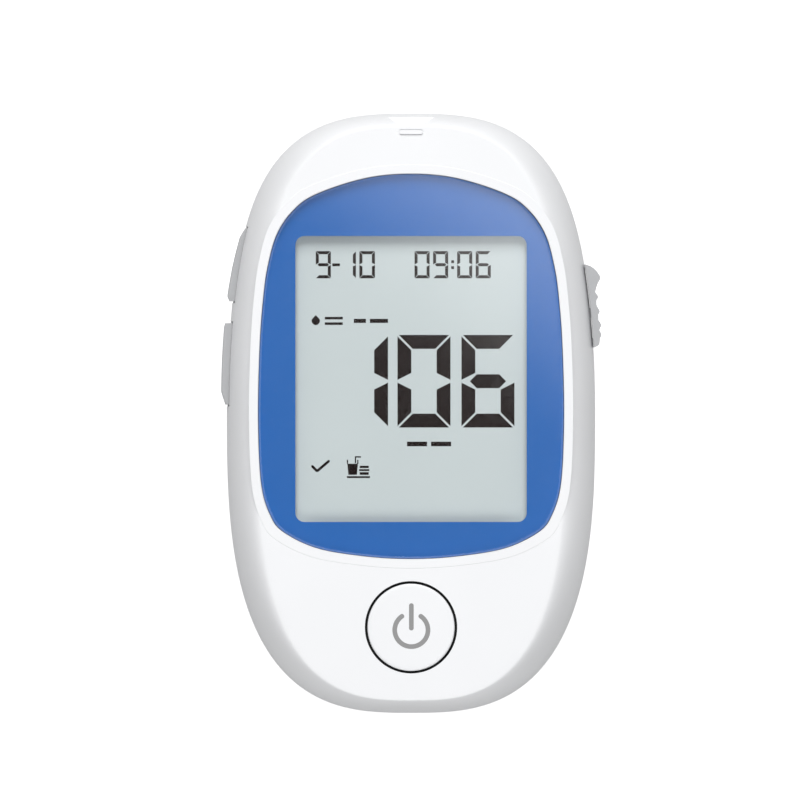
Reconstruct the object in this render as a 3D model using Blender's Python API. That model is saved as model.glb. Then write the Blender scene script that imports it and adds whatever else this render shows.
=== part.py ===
"""A handheld blood-test meter: white case, window over a display, buttons, strip ejector.

Metres, +Z up. The meter lies on its back with the window facing up. X runs across it, Y runs
along it with the test-strip port at the +Y end, and the origin is under the middle of the back.
"""
import math

import bmesh
import bpy
import numpy as np
from mathutils import Matrix, Vector

# Case outline and walls. The case is as wide as the battery door and a room on each side,
# and as long as the battery bay, the margin below it and the head above it
CASE_SIDE_ROOM = 0.0151
HEAD_LENGTH = 0.0405
PARTING_UNDER_BOARD = 0.0033
FRONT_ROUND = 0.0050
BACK_ROUND = 0.0060
WALL = 0.0016
SEAM = 0.0003
LIP_THICKNESS = 0.0006
LIP_HEIGHT = 0.0010
UPPER_OUTLINE_POWER = 2.96
LOWER_OUTLINE_POWER = 2.88

# Clearances
FIT = 0.0003
BOND = 0.00005
OVERRUN = 0.0010

# Window panel
LENS_SIDE_MARGIN = 0.00525
LENS_END_MARGIN = 0.01009
LENS_POWER_MARGIN = 0.00368
LENS_WIDEST_RISE = 0.02264
LENS_THICKNESS = 0.0012
LENS_BEVEL = 0.0003
LENS_SINK = 0.0001
LENS_GAP = 0.00025
# Right half of the panel's outline, top to bottom: shares of its half width and of its reach
LENS_SHARES = (
    (0.0, 1.0),
    (0.30, 0.982),
    (0.618, 0.918),
    (0.770, 0.852),
    (0.878, 0.754),
    (0.9375, 0.623),
    (0.967, 0.492),
    (0.990, 0.295),
    (1.0, 0.0),
    (0.980, -0.462),
    (0.918, -0.693),
    (0.832, -0.809),
    (0.612, -0.924),
    (0.296, -0.982),
    (0.0, -1.0),
)
MASK_THICKNESS = 0.00015
TAPE_THICKNESS = 0.0002
TAPE_WIDTH = 0.0021
LEDGE_WIDTH = 0.0026
LEDGE_THICKNESS = 0.0008
LEDGE_SURROUND = 0.0012

# Display
VIEW_SIDE_MARGIN = 0.0058
VIEW_UPPER_MARGIN = 0.01005
VIEW_LOWER_MARGIN = 0.00596
VIEW_CORNER = 0.0015
GLASS_SIDE_MARGIN = 0.00175
GLASS_UPPER_MARGIN = 0.00174
GLASS_LOWER_MARGIN = 0.00386
GLASS_PLATE = 0.0009
GLASS_LEDGE = 0.0032
HOLDER_DEPTH = 0.0018
BACKLIGHT_THICKNESS = 0.00085
HOLDER_WALL = 0.0011
HOLDER_SHELF = 0.0016
ZEBRA_WIDTH = 0.0018
ZEBRA_END_MARGIN = 0.0028

# Main board
BOARD_THICKNESS = 0.0012
BOARD_OVER_BAY = 0.0004
BOARD_INSET = 0.0036

# Power button
POWER_END_MARGIN = 0.0141
POWER_HOLE_RADIUS = 0.00752
POWER_GAP = 0.00042
POWER_EDGE_ROUND = 0.0003
POWER_FLANGE = 0.0009
POWER_FLANGE_THICKNESS = 0.0009
POWER_STEM_RADIUS = 0.0020
POWER_TRAVEL = 0.0005
SWITCH_RADIUS = 0.0032
SWITCH_HEIGHT = 0.0016
PLUNGER_RADIUS = 0.0014
PLUNGER_PROUD = 0.0009
SWITCH_BORE_DEPTH = 0.0011

# Side buttons. A name that ends in RISE is a height over the line where the case parts
UPPER_BUTTON_TOP_INSET = 0.0188
UPPER_BUTTON_LENGTH = 0.0119
UPPER_BUTTON_PROUD = 0.00095
BUTTON_SPACING = 0.0036
LOWER_BUTTON_LENGTH = 0.0133
LOWER_BUTTON_PROUD = 0.00098
SIDE_BUTTON_LOW_RISE = -0.0015
SIDE_BUTTON_HIGH_RISE = 0.0025
SIDE_BUTTON_TRAVEL = 0.0005
SIDE_FLANGE = 0.0009
SIDE_FLANGE_MARGIN = 0.0006
SIDE_FLANGE_GAP = 0.0006
SIDE_STEM_LENGTH = 0.0006
SIDE_STEM_HALF_LENGTH = 0.0015
SIDE_STEM_LOW_RISE = 0.0007
SIDE_STEM_HIGH_RISE = 0.0021
SIDE_SWITCH_DEPTH = 0.0035
SIDE_SWITCH_HALF_LENGTH = 0.0030
SIDE_PLUNGER_RADIUS = 0.0007
SIDE_PLUNGER_PROUD = 0.0008
SIDE_BORE_DEPTH = 0.0010
# Share of the button's length from its top end, then share of its proud height
UPPER_BUTTON_SHARES = ((0.0, 0.0), (0.12, 0.55), (0.55, 0.85), (0.93, 1.0), (1.0, 0.55))
LOWER_BUTTON_SHARES = ((0.0, 0.85), (0.04, 1.0), (0.45, 1.0), (0.84, 0.97), (1.0, 0.25))

# Strip ejector slider
SLIDER_BAY_MARGIN = 0.0024
SLIDER_LENGTH = 0.0134
SLIDER_PROUD = 0.00154
SLIDER_LOW_RISE = -0.0023
SLIDER_HIGH_RISE = 0.0029
SLIDER_GAP = 0.0002
SLIDER_THIN = 0.0001
NECK_TOP_INSET = 0.0071
NECK_LENGTH = 0.0046
NECK_LOW_RISE = -0.0006
NECK_HIGH_RISE = 0.0012
EJECT_TRAVEL = 0.0060
# Share of the slider's length from its top end, then share of its proud height
SLIDER_SHARES = (
    (0.0, 0.0),
    (0.08, 0.52),
    (0.16, 0.93),
    (0.20, 1.0),
    (0.25, 0.66),
    (0.29, 0.14),
    (0.35, 0.16),
    (0.385, 0.42),
    (0.43, 0.16),
    (0.53, 0.18),
    (0.575, 0.44),
    (0.62, 0.21),
    (0.71, 0.26),
    (0.75, 0.53),
    (0.79, 0.32),
    (0.83, 0.30),
    (0.865, 0.51),
    (0.91, 0.25),
    (0.97, 0.13),
    (1.0, 0.0),
)
PUSHER_PLATE_INSET = 0.0063
PUSHER_PLATE_THICKNESS = 0.0010
PUSHER_PLATE_TOP_INSET = 0.0008
PUSHER_PLATE_BOTTOM_INSET = 0.0009
PUSHER_LOW_RISE = -0.0001
PUSHER_HIGH_RISE = 0.0017
PUSHER_ARM_WIDTH = 0.0030
FINGER_HALF_WIDTH = 0.0016
FINGER_REACH = 0.0014
SPRING_INSET = 0.0109
SPRING_RADIUS = 0.0012
SPRING_WIRE = 0.0004
SPRING_LENGTH = 0.0100
SPRING_TURNS = 6
SPRING_SEAT_HALF_WIDTH = 0.0020
SPRING_SEAT_THICKNESS = 0.0012

# Test-strip port
PORT_HALF_WIDTH = 0.0052
PORT_END_MARGIN = 0.0038
PORT_LENGTH = 0.0116
PORT_LOW_RISE = -0.0006
STRIP_SLOT_HALF_WIDTH = 0.0030
STRIP_SLOT_LOW_RISE = 0.00035
STRIP_SLOT_HIGH_RISE = 0.0016
CONTACT_WIDTH = 0.0006
CONTACT_PITCH = 0.0013
CONTACT_COUNT = 4
CONTACT_THICKNESS = 0.0002
CONTACT_LENGTH = 0.0024
CONTACT_POCKET_HIGH_RISE = 0.0025
CONTACT_POCKET_INSET = 0.0010
NOTCH_HALF_WIDTH = 0.0049
NOTCH_TIP_HALF_WIDTH = 0.0020
NOTCH_DEPTH = 0.0019
RAMP_DROP = 0.0014
MARK_HALF_WIDTH = 0.0019
MARK_HALF_DEPTH = 0.00045
MARK_END_MARGIN = 0.00285
MARK_RISE = 0.0002

# Batteries, their bay and their contacts
CELL_RADIUS = 0.00515
CELL_LENGTH = 0.0445
CELL_NUB_RADIUS = 0.0019
CELL_NUB_LENGTH = 0.0008
CELL_EDGE = 0.0004
CELL_SPREAD = 0.0005
BAY_SIDE_ROOM = 0.00045
BAY_END_MARGIN = 0.0070
BAY_END_ROOM = 0.0060
BAY_HEADROOM = 0.0005
BAY_WALL = 0.0009
PLATE_THICKNESS = 0.0004
PLATE_LOW_DROP = 0.00385
PLATE_HIGH_RISE = 0.00415
PLATE_HALF_WIDTH = 0.0042
TAIL_HALF_WIDTH = 0.0008
CELL_SPRING_WIRE = 0.0005
CELL_SPRING_BASE_RADIUS = 0.0030
CELL_SPRING_TIP_RADIUS = 0.0019
CELL_SPRING_TURNS = 3.5

# Battery door
DOOR_SIDE_MARGIN = 0.0040
DOOR_TOP_MARGIN = 0.0015
DOOR_WALL = 0.0014
DOOR_CURL_HEIGHT = 0.0060
DOOR_TRAVEL = 0.0050
LEDGE_STRIP_THICKNESS = 0.0010
LEDGE_STRIP_OVERLAP = 0.0010
HOOK_WEB_INSET = 0.0026
HOOK_WEB_THICKNESS = 0.0008
HOOK_TOE = 0.0012
HOOK_TOE_THICKNESS = 0.0008
HOOK_LENGTH = 0.0040
UPPER_HOOK_INSET = 0.0120
LOWER_HOOK_END_MARGIN = 0.0190
GRIP_COUNT = 5
GRIP_HALF_WIDTH = 0.0060
GRIP_PITCH = 0.0016
GRIP_WIDTH = 0.0007
GRIP_DEPTH = 0.0004
GRIP_END_MARGIN = 0.0090

# Case screws, at the corners
UPPER_SCREW_SIDE_MARGIN = 0.0126
UPPER_SCREW_END_MARGIN = 0.0125
LOWER_SCREW_SIDE_MARGIN = 0.0096
LOWER_SCREW_END_MARGIN = 0.0160
WELL_RADIUS = 0.0021
WELL_DEPTH = 0.0036
REAR_POST_RADIUS = 0.0030
REAR_POST_HEIGHT = 0.0050
FRONT_POST_RADIUS = 0.0024
SCREW_HEAD_RADIUS = 0.0018
SCREW_HEAD_HEIGHT = 0.0014
SCREW_SHANK_RADIUS = 0.0010
SCREW_SHANK_LENGTH = 0.0080
SCREW_RECESS_DEPTH = 0.0007
SCREW_RECESS_WIDTH = 0.0006
SCREW_RECESS_LENGTH = 0.0022

# Board screws
LOWER_BOARD_SCREW_SIDE_MARGIN = 0.0141
LOWER_BOARD_SCREW_END_MARGIN = 0.0210
UPPER_BOARD_SCREW_PORT_MARGIN = 0.0063
UPPER_BOARD_SCREW_END_MARGIN = 0.0124
BOARD_POST_RADIUS = 0.0020
BOARD_SCREW_HEAD_RADIUS = 0.0015
BOARD_SCREW_HEAD_HEIGHT = 0.0010
BOARD_SCREW_SHANK_RADIUS = 0.0007
BOARD_SCREW_SHANK_LENGTH = 0.0040

# Parts under the board
CHIP_HEIGHT = 0.0012
PROCESSOR_PORT_MARGIN = 0.0078
PROCESSOR_END_MARGIN = 0.0215
PROCESSOR_HALF = 0.0045
AMPLIFIER_PORT_MARGIN = 0.0053
AMPLIFIER_END_MARGIN = 0.0115
AMPLIFIER_HALF_WIDTH = 0.0020
AMPLIFIER_HALF_LENGTH = 0.0025
CRYSTAL_PORT_MARGIN = 0.0043
CRYSTAL_END_MARGIN = 0.0200
CRYSTAL_RADIUS = 0.0012
CRYSTAL_LENGTH = 0.0060
BUZZER_SIDE_MARGIN = 0.0093
BUZZER_BAY_MARGIN = 0.0205
BUZZER_RADIUS = 0.0040
BUZZER_HEIGHT = 0.0028

# Facets
OUTLINE_STEPS = 60
LENS_STEPS = 48
FINE_STEPS = 30
ROUND_STEPS = 5
INNER_ROUND_STEPS = 4
CIRCLE_STEPS = 16
BUTTON_STEPS = 36
FLANGE_STEPS = 5
CORNER_STEPS = 4
COIL_STEPS = 8
COIL_SIDES = 5
SHARP_ANGLE = math.radians(35)

# The bay, its door and the case's width follow from the cells
CELL_SPACING = CELL_RADIUS + CELL_RADIUS + CELL_SPREAD
CELL_HEIGHT = DOOR_WALL + FIT + CELL_RADIUS
BAY_HALF_WIDTH = CELL_SPACING / 2 + CELL_RADIUS + BAY_SIDE_ROOM
BAY_LENGTH = CELL_LENGTH + BAY_END_ROOM
BAY_CEILING = CELL_HEIGHT + CELL_RADIUS + BAY_HEADROOM
TUB_HALF_WIDTH = BAY_HALF_WIDTH + BAY_WALL
TUB_TOP = BAY_CEILING + BAY_WALL
PLATE_LOW = CELL_HEIGHT - PLATE_LOW_DROP
PLATE_HIGH = CELL_HEIGHT + PLATE_HIGH_RISE
DOOR_HALF_WIDTH = BAY_HALF_WIDTH + DOOR_SIDE_MARGIN
DOOR_CAVITY_DEPTH = DOOR_WALL + FIT + FIT
LEDGE_STRIP_LOW = DOOR_CAVITY_DEPTH
LEDGE_STRIP_HIGH = LEDGE_STRIP_LOW + LEDGE_STRIP_THICKNESS
HOOK_WEB_X = DOOR_HALF_WIDTH - HOOK_WEB_INSET
HALF_WIDTH = DOOR_HALF_WIDTH + CASE_SIDE_ROOM

# The case's length is the bay's, the margin below it and the head above it
HALF_LENGTH = (BAY_END_MARGIN + BAY_LENGTH + HEAD_LENGTH) / 2
BAY_BOTTOM_Y = BAY_END_MARGIN - HALF_LENGTH
BAY_TOP_Y = BAY_BOTTOM_Y + BAY_LENGTH
DOOR_TOP_Y = BAY_TOP_Y + DOOR_TOP_MARGIN
UPPER_HOOK_Y = DOOR_TOP_Y - UPPER_HOOK_INSET
LOWER_HOOK_Y = LOWER_HOOK_END_MARGIN - HALF_LENGTH
GRIP_BOTTOM_Y = GRIP_END_MARGIN - HALF_LENGTH

# The case's height is a stack: board, display, ledge, tape, mask and lens over the bay
BOARD_UNDERSIDE = TUB_TOP + BOARD_OVER_BAY
BOARD_TOP = BOARD_UNDERSIDE + BOARD_THICKNESS
COMPONENT_TOP = BOARD_UNDERSIDE - FIT
GLASS_UNDERSIDE = BOARD_TOP + HOLDER_DEPTH
GLASS_TOP = GLASS_UNDERSIDE + GLASS_PLATE + GLASS_PLATE
LEDGE_UNDERSIDE = GLASS_TOP + FIT
LEDGE_TOP = LEDGE_UNDERSIDE + LEDGE_THICKNESS
TAPE_TOP = LEDGE_TOP + BOND + TAPE_THICKNESS
MASK_TOP = TAPE_TOP + BOND + MASK_THICKNESS
LENS_UNDERSIDE = MASK_TOP + BOND
LENS_TOP = LENS_UNDERSIDE + LENS_THICKNESS
CASE_HEIGHT = LENS_TOP + LENS_SINK
CEILING = CASE_HEIGHT - WALL

# Heights about the line where the case parts
PARTING_HEIGHT = BOARD_UNDERSIDE - PARTING_UNDER_BOARD
SIDE_BUTTON_LOW = PARTING_HEIGHT + SIDE_BUTTON_LOW_RISE
SIDE_BUTTON_HIGH = PARTING_HEIGHT + SIDE_BUTTON_HIGH_RISE
SIDE_STEM_LOW = PARTING_HEIGHT + SIDE_STEM_LOW_RISE
SIDE_STEM_HIGH = PARTING_HEIGHT + SIDE_STEM_HIGH_RISE
SIDE_SWITCH_LOW = PARTING_HEIGHT
SLIDER_LOW = PARTING_HEIGHT + SLIDER_LOW_RISE
SLIDER_HIGH = PARTING_HEIGHT + SLIDER_HIGH_RISE
NECK_LOW = PARTING_HEIGHT + NECK_LOW_RISE
NECK_HIGH = PARTING_HEIGHT + NECK_HIGH_RISE
PUSHER_LOW = PARTING_HEIGHT + PUSHER_LOW_RISE
PUSHER_HIGH = PARTING_HEIGHT + PUSHER_HIGH_RISE
PORT_LOW = PARTING_HEIGHT + PORT_LOW_RISE
STRIP_SLOT_LOW = PARTING_HEIGHT + STRIP_SLOT_LOW_RISE
STRIP_SLOT_HIGH = PARTING_HEIGHT + STRIP_SLOT_HIGH_RISE
CONTACT_POCKET_HIGH = PARTING_HEIGHT + CONTACT_POCKET_HIGH_RISE

# The window, display and power button keep their margins to the case's sides and ends
POWER_Y = POWER_END_MARGIN - HALF_LENGTH
LENS_HALF_WIDTH = HALF_WIDTH - LENS_SIDE_MARGIN
LENS_TOP_Y = HALF_LENGTH - LENS_END_MARGIN
LENS_BOTTOM_Y = POWER_Y + POWER_HOLE_RADIUS + LENS_POWER_MARGIN
LENS_CENTRE_Y = LENS_BOTTOM_Y + LENS_WIDEST_RISE
LENS_REACH_UP = LENS_TOP_Y - LENS_CENTRE_Y
LENS_REACH_DOWN = LENS_CENTRE_Y - LENS_BOTTOM_Y
VIEW_HALF_WIDTH = LENS_HALF_WIDTH - VIEW_SIDE_MARGIN
VIEW_TOP_Y = LENS_TOP_Y - VIEW_UPPER_MARGIN
VIEW_BOTTOM_Y = LENS_BOTTOM_Y + VIEW_LOWER_MARGIN
GLASS_HALF_WIDTH = VIEW_HALF_WIDTH + GLASS_SIDE_MARGIN
GLASS_TOP_Y = VIEW_TOP_Y + GLASS_UPPER_MARGIN
GLASS_BOTTOM_Y = VIEW_BOTTOM_Y - GLASS_LOWER_MARGIN
ZEBRA_HALF_LENGTH = GLASS_HALF_WIDTH - ZEBRA_END_MARGIN

# The side buttons and strip port keep their places from the port end, the ejector from the bay
UPPER_BUTTON_TOP_Y = HALF_LENGTH - UPPER_BUTTON_TOP_INSET
UPPER_BUTTON_BOTTOM_Y = UPPER_BUTTON_TOP_Y - UPPER_BUTTON_LENGTH
LOWER_BUTTON_TOP_Y = UPPER_BUTTON_BOTTOM_Y - BUTTON_SPACING
LOWER_BUTTON_BOTTOM_Y = LOWER_BUTTON_TOP_Y - LOWER_BUTTON_LENGTH
SLIDER_BOTTOM_Y = BAY_TOP_Y + SLIDER_BAY_MARGIN
SLIDER_TOP_Y = SLIDER_BOTTOM_Y + SLIDER_LENGTH
NECK_TOP_Y = SLIDER_TOP_Y - NECK_TOP_INSET
NECK_BOTTOM_Y = NECK_TOP_Y - NECK_LENGTH
PUSHER_PLATE_X = HALF_WIDTH - PUSHER_PLATE_INSET
PUSHER_PLATE_TOP_Y = SLIDER_TOP_Y - PUSHER_PLATE_TOP_INSET
PUSHER_PLATE_BOTTOM_Y = SLIDER_BOTTOM_Y + PUSHER_PLATE_BOTTOM_INSET
SPRING_X = HALF_WIDTH - SPRING_INSET
PORT_TOP_Y = HALF_LENGTH - PORT_END_MARGIN
PORT_BOTTOM_Y = PORT_TOP_Y - PORT_LENGTH
FINGER_TOP_Y = PORT_BOTTOM_Y + FINGER_REACH
MARK_CENTRE_Y = HALF_LENGTH - MARK_END_MARGIN

# Screws and the parts under the board
UPPER_SCREW_X = HALF_WIDTH - UPPER_SCREW_SIDE_MARGIN
UPPER_SCREW_Y = HALF_LENGTH - UPPER_SCREW_END_MARGIN
LOWER_SCREW_X = HALF_WIDTH - LOWER_SCREW_SIDE_MARGIN
LOWER_SCREW_Y = LOWER_SCREW_END_MARGIN - HALF_LENGTH
LOWER_BOARD_SCREW_X = LOWER_BOARD_SCREW_SIDE_MARGIN - HALF_WIDTH
LOWER_BOARD_SCREW_Y = LOWER_BOARD_SCREW_END_MARGIN - HALF_LENGTH
UPPER_BOARD_SCREW_X = PORT_HALF_WIDTH + UPPER_BOARD_SCREW_PORT_MARGIN
UPPER_BOARD_SCREW_Y = HALF_LENGTH - UPPER_BOARD_SCREW_END_MARGIN
PROCESSOR_X = -PORT_HALF_WIDTH - PROCESSOR_PORT_MARGIN
PROCESSOR_Y = HALF_LENGTH - PROCESSOR_END_MARGIN
AMPLIFIER_X = -PORT_HALF_WIDTH - AMPLIFIER_PORT_MARGIN
AMPLIFIER_Y = HALF_LENGTH - AMPLIFIER_END_MARGIN
CRYSTAL_X = PORT_HALF_WIDTH + CRYSTAL_PORT_MARGIN
CRYSTAL_Y = HALF_LENGTH - CRYSTAL_END_MARGIN
BUZZER_X = HALF_WIDTH - BUZZER_SIDE_MARGIN
BUZZER_Y = BAY_TOP_Y - BUZZER_BAY_MARGIN


# Scene and materials

def clear_scene():
    for existing in list(bpy.data.objects):
        bpy.data.objects.remove(existing, do_unlink=True)


def linear(channel):
    """Turns one sRGB channel, 0 to 255, into a linear value."""
    value = channel / 255
    if value <= 0.04045:
        return value / 12.92
    return ((value + 0.055) / 1.055) ** 2.4


def make_material(name, colour, roughness, metallic=0.0, transmission=0.0):
    material = bpy.data.materials.new(name)
    material.use_nodes = True
    shader = material.node_tree.nodes["Principled BSDF"]
    rgba = [linear(channel) for channel in colour] + [1.0]
    shader.inputs["Base Color"].default_value = rgba
    shader.inputs["Roughness"].default_value = roughness
    shader.inputs["Metallic"].default_value = metallic
    shader.inputs["Transmission Weight"].default_value = transmission
    material.diffuse_color = rgba
    return material


def make_materials():
    return {
        "white": make_material("white_abs", (240, 241, 243), 0.30),
        "grey": make_material("grey_abs", (172, 173, 174), 0.45),
        "clear": make_material("clear_acrylic", (255, 255, 255), 0.05, transmission=1.0),
        "blue": make_material("blue_printed_film", (53, 112, 183), 0.35),
        "tape": make_material("black_foam_tape", (28, 28, 30), 0.85),
        "glass": make_material("display_glass", (200, 211, 213), 0.20),
        "diffuser": make_material("white_diffuser", (235, 238, 240), 0.50),
        "holder": make_material("natural_polycarbonate", (225, 226, 222), 0.45),
        "rubber": make_material("conductive_rubber", (60, 62, 66), 0.80),
        "board": make_material("green_circuit_board", (28, 92, 58), 0.40),
        "black": make_material("black_moulding", (30, 30, 32), 0.50),
        "steel": make_material("nickel_plated_steel", (196, 196, 192), 0.28, metallic=1.0),
        "gold": make_material("gold_plated_bronze", (212, 175, 105), 0.25, metallic=1.0),
        "label": make_material("cell_sleeve", (70, 74, 80), 0.40),
    }


# Outlines, each a list of (x, y) points

def even_loop(points, count):
    """Takes count points at equal steps along a closed run of points."""
    path = np.array(points + points[:1])
    steps = np.linalg.norm(np.diff(path, axis=0), axis=1)
    travelled = np.concatenate(([0.0], np.cumsum(steps)))
    stations = np.linspace(0.0, travelled[-1], count, endpoint=False)
    across = np.interp(stations, travelled, path[:, 0])
    along = np.interp(stations, travelled, path[:, 1])
    return list(zip(across.tolist(), along.tolist()))


def egg_loop(half_width, reaches, powers, centre_y, count):
    """A superellipse whose upper and lower halves have their own reach and power."""
    points = []
    for step in range(count * FINE_STEPS):
        angle = 2 * math.pi * step / (count * FINE_STEPS)
        half = 0 if math.sin(angle) >= 0 else 1
        power = 2 / powers[half]
        across = half_width * abs(math.cos(angle)) ** power
        along = reaches[half] * abs(math.sin(angle)) ** power
        x = math.copysign(across, math.cos(angle))
        y = centre_y + math.copysign(along, math.sin(angle))
        points.append((x, y))
    return even_loop(points, count)


def case_loop(inset):
    reach = HALF_LENGTH - inset
    powers = (UPPER_OUTLINE_POWER, LOWER_OUTLINE_POWER)
    return egg_loop(HALF_WIDTH - inset, (reach, reach), powers, 0, OUTLINE_STEPS)


def smooth_loop(points, count):
    """A closed curve through the points, as count places at equal steps along it."""
    fine = []
    for index in range(len(points)):
        before, start, end, after = (
            np.array(points[(index + step) % len(points)]) for step in (-1, 0, 1, 2)
        )
        for step in range(FINE_STEPS):
            t = step / FINE_STEPS
            bend = 2 * start + (end - before) * t
            bend += (2 * before - 5 * start + 4 * end - after) * t**2
            bend += (3 * start - before - 3 * end + after) * t**3
            fine.append(tuple(bend / 2))
    return even_loop(fine, count)


def lens_loop(inset):
    right = []
    for across, along in LENS_SHARES:
        reach = LENS_REACH_UP if along > 0 else LENS_REACH_DOWN
        x = (LENS_HALF_WIDTH - inset) * across
        y = LENS_CENTRE_Y + (reach - inset) * along
        right.append((x, y))
    left = [(-x, y) for x, y in right[-2:0:-1]]
    return smooth_loop(right + left, LENS_STEPS)


def side_at(y, inset):
    """Half width of the case outline, less an inset, at a place along its length."""
    power = UPPER_OUTLINE_POWER if y >= 0 else LOWER_OUTLINE_POWER
    share = abs(y / (HALF_LENGTH - inset)) ** power
    return (HALF_WIDTH - inset) * (1 - share) ** (1 / power)


def rounded_rectangle(half_width, bottom, top, radius):
    points = []
    corners = (
        (half_width - radius, top - radius, 0),
        (radius - half_width, top - radius, 1),
        (radius - half_width, bottom + radius, 2),
        (half_width - radius, bottom + radius, 3),
    )
    for corner_x, corner_y, quarter in corners:
        for step in range(CORNER_STEPS + 1):
            angle = (quarter + step / CORNER_STEPS) * math.pi / 2
            x = corner_x + radius * math.cos(angle)
            y = corner_y + radius * math.sin(angle)
            points.append((x, y))
    return points


def circle(radius, count):
    turns = [2 * math.pi * step / count for step in range(count)]
    return [(radius * math.cos(turn), radius * math.sin(turn)) for turn in turns]


def at_height(loop, z):
    return [(x, y, z) for x, y in loop]


# Solids, each a bmesh in world coordinates

def stacked_rings(rings):
    """Closes a stack of rings with equal numbers of points into one solid."""
    mesh = bmesh.new()
    rows = [[mesh.verts.new(point) for point in ring] for ring in rings]
    for near, far in zip(rows, rows[1:]):
        for index in range(len(near)):
            after = (index + 1) % len(near)
            mesh.faces.new((near[index], near[after], far[after], far[index]))
    mesh.faces.new(rows[0])
    mesh.faces.new(rows[-1])
    bmesh.ops.recalc_face_normals(mesh, faces=mesh.faces)
    return mesh


def prism(loop, low, high):
    return stacked_rings([at_height(loop, low), at_height(loop, high)])


def box(x_range, y_range, z_range):
    (left, right), (near, far), (low, high) = x_range, y_range, z_range
    loop = [(left, near), (right, near), (right, far), (left, far)]
    return prism(loop, low, high)


def turned(profile, count):
    """Turns a profile of (radius, z) points about the Z axis."""
    return stacked_rings([at_height(circle(radius, count), z) for radius, z in profile])


def side_prism(profile, x_range):
    """A solid with its (y, z) profile the same all along X."""
    left, right = x_range
    rings = [[(x, y, z) for y, z in profile] for x in (left, right)]
    return stacked_rings(rings)


def moved(mesh, x=0, y=0, z=0):
    bmesh.ops.translate(mesh, verts=mesh.verts, vec=(x, y, z))
    return mesh


def laid_along_y(mesh):
    """Lays a solid turned about Z along Y, with its upper end toward +Y."""
    bmesh.ops.rotate(mesh, verts=mesh.verts, matrix=Matrix.Rotation(-math.pi / 2, 3, "X"))
    return mesh


def laid_along_x(mesh):
    """Lays a solid turned about Z along X, with its upper end toward -X."""
    bmesh.ops.rotate(mesh, verts=mesh.verts, matrix=Matrix.Rotation(-math.pi / 2, 3, "Y"))
    return mesh


def merged(solids):
    """Puts solids that don't touch into one mesh."""
    whole = solids[0]
    for solid in solids[1:]:
        part = bpy.data.meshes.new("part")
        solid.to_mesh(part)
        solid.free()
        whole.from_mesh(part)
        bpy.data.meshes.remove(part)
    return whole


def coil(radii, wire, length, turns):
    """A wire wound about Z from z = 0, with its radius changing evenly from end to end."""
    start_radius, end_radius = radii
    count = round(turns * COIL_STEPS)
    rings = []
    for step in range(count + 1):
        share = step / count
        angle = 2 * math.pi * turns * share
        radius = start_radius + (end_radius - start_radius) * share
        outward = Vector((math.cos(angle), math.sin(angle), 0))
        rise = (length - wire) / (2 * math.pi * turns)
        tangent = Vector((-math.sin(angle) * radius, math.cos(angle) * radius, rise)).normalized()
        across = tangent.cross(outward)
        centre = outward * radius + Vector((0, 0, wire / 2 + (length - wire) * share))
        section = circle(wire / 2, COIL_SIDES)
        rings.append([tuple(centre + outward * u + across * v) for u, v in section])
    return stacked_rings(rings)


# Objects

def make_object(name, mesh, material=None, origin=(0, 0, 0)):
    """Makes an object whose origin is at the given place, from a mesh in world coordinates."""
    data = bpy.data.meshes.new(name)
    bmesh.ops.translate(mesh, verts=mesh.verts, vec=-Vector(origin))
    mesh.to_mesh(data)
    mesh.free()
    data.shade_smooth()
    data.set_sharp_from_angle(angle=SHARP_ANGLE)
    made = bpy.data.objects.new(name, data)
    made.location = origin
    if material:
        data.materials.append(material)
    bpy.context.scene.collection.objects.link(made)
    return made


def combine(target, name, mesh, operation):
    """Adds a Boolean modifier, with the mesh as its hidden tool object, and returns the tool."""
    tool = make_object(name, mesh)
    tool.hide_render = True
    tool.display_type = "WIRE"
    apply_tool(target, tool, operation)
    return tool


def apply_tool(target, tool, operation):
    modifier = target.modifiers.new(tool.name, "BOOLEAN")
    modifier.operation = operation
    modifier.object = tool


# Case halves

def round_over(inset, low, high, width, steps=ROUND_STEPS):
    """(inset, z) points from an upright edge at low round to a level top at high."""
    points = []
    for step in range(steps + 1):
        angle = math.pi / 2 * step / steps
        points.append((inset + width * (1 - math.cos(angle)), low + (high - low) * math.sin(angle)))
    return points


def case_rings(profile):
    return [at_height(case_loop(inset), z) for inset, z in profile]


def front_skin(rise):
    """The case front's outer surface, raised by a small amount, closed at the parting."""
    width = FRONT_ROUND
    return case_rings(round_over(-rise, PARTING_HEIGHT + SEAM / 2, CASE_HEIGHT + rise, width))


def front_shell():
    seam_high = PARTING_HEIGHT + SEAM / 2
    relief_inset = WALL - LIP_THICKNESS - FIT
    relief_top = PARTING_HEIGHT + LIP_HEIGHT + FIT
    inner_width = FRONT_ROUND - WALL / 2
    inner = round_over(WALL, relief_top, CEILING, inner_width, INNER_ROUND_STEPS)
    relief = [(relief_inset, relief_top), (relief_inset, seam_high)]
    outer = round_over(0, seam_high, CASE_HEIGHT, FRONT_ROUND)
    return stacked_rings(case_rings(inner[::-1] + relief + outer))


def back_rings(inset):
    """Rings of the back's surface, moved inward by an inset, from the parting to the back."""
    seam_low = PARTING_HEIGHT - SEAM / 2
    width = BACK_ROUND - inset / 2
    steps = INNER_ROUND_STEPS if inset == WALL else ROUND_STEPS
    return round_over(inset, seam_low, inset, width, steps)


def rear_shell():
    seam_low = PARTING_HEIGHT - SEAM / 2
    lip_top = PARTING_HEIGHT + LIP_HEIGHT
    lip_inset = WALL - LIP_THICKNESS
    inner = back_rings(WALL)[::-1]
    lip = [(WALL, lip_top), (lip_inset, lip_top), (lip_inset, seam_low)]
    return stacked_rings(case_rings(inner + lip + back_rings(0)))


def back_skin(thickness, overrun):
    """A layer of the back's surface of the given thickness, from the parting down."""
    outer = back_rings(0)
    if overrun:
        outer = [(inset - overrun, z - overrun) for inset, z in outer]
    return stacked_rings(case_rings(back_rings(thickness)[::-1] + outer))


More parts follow.
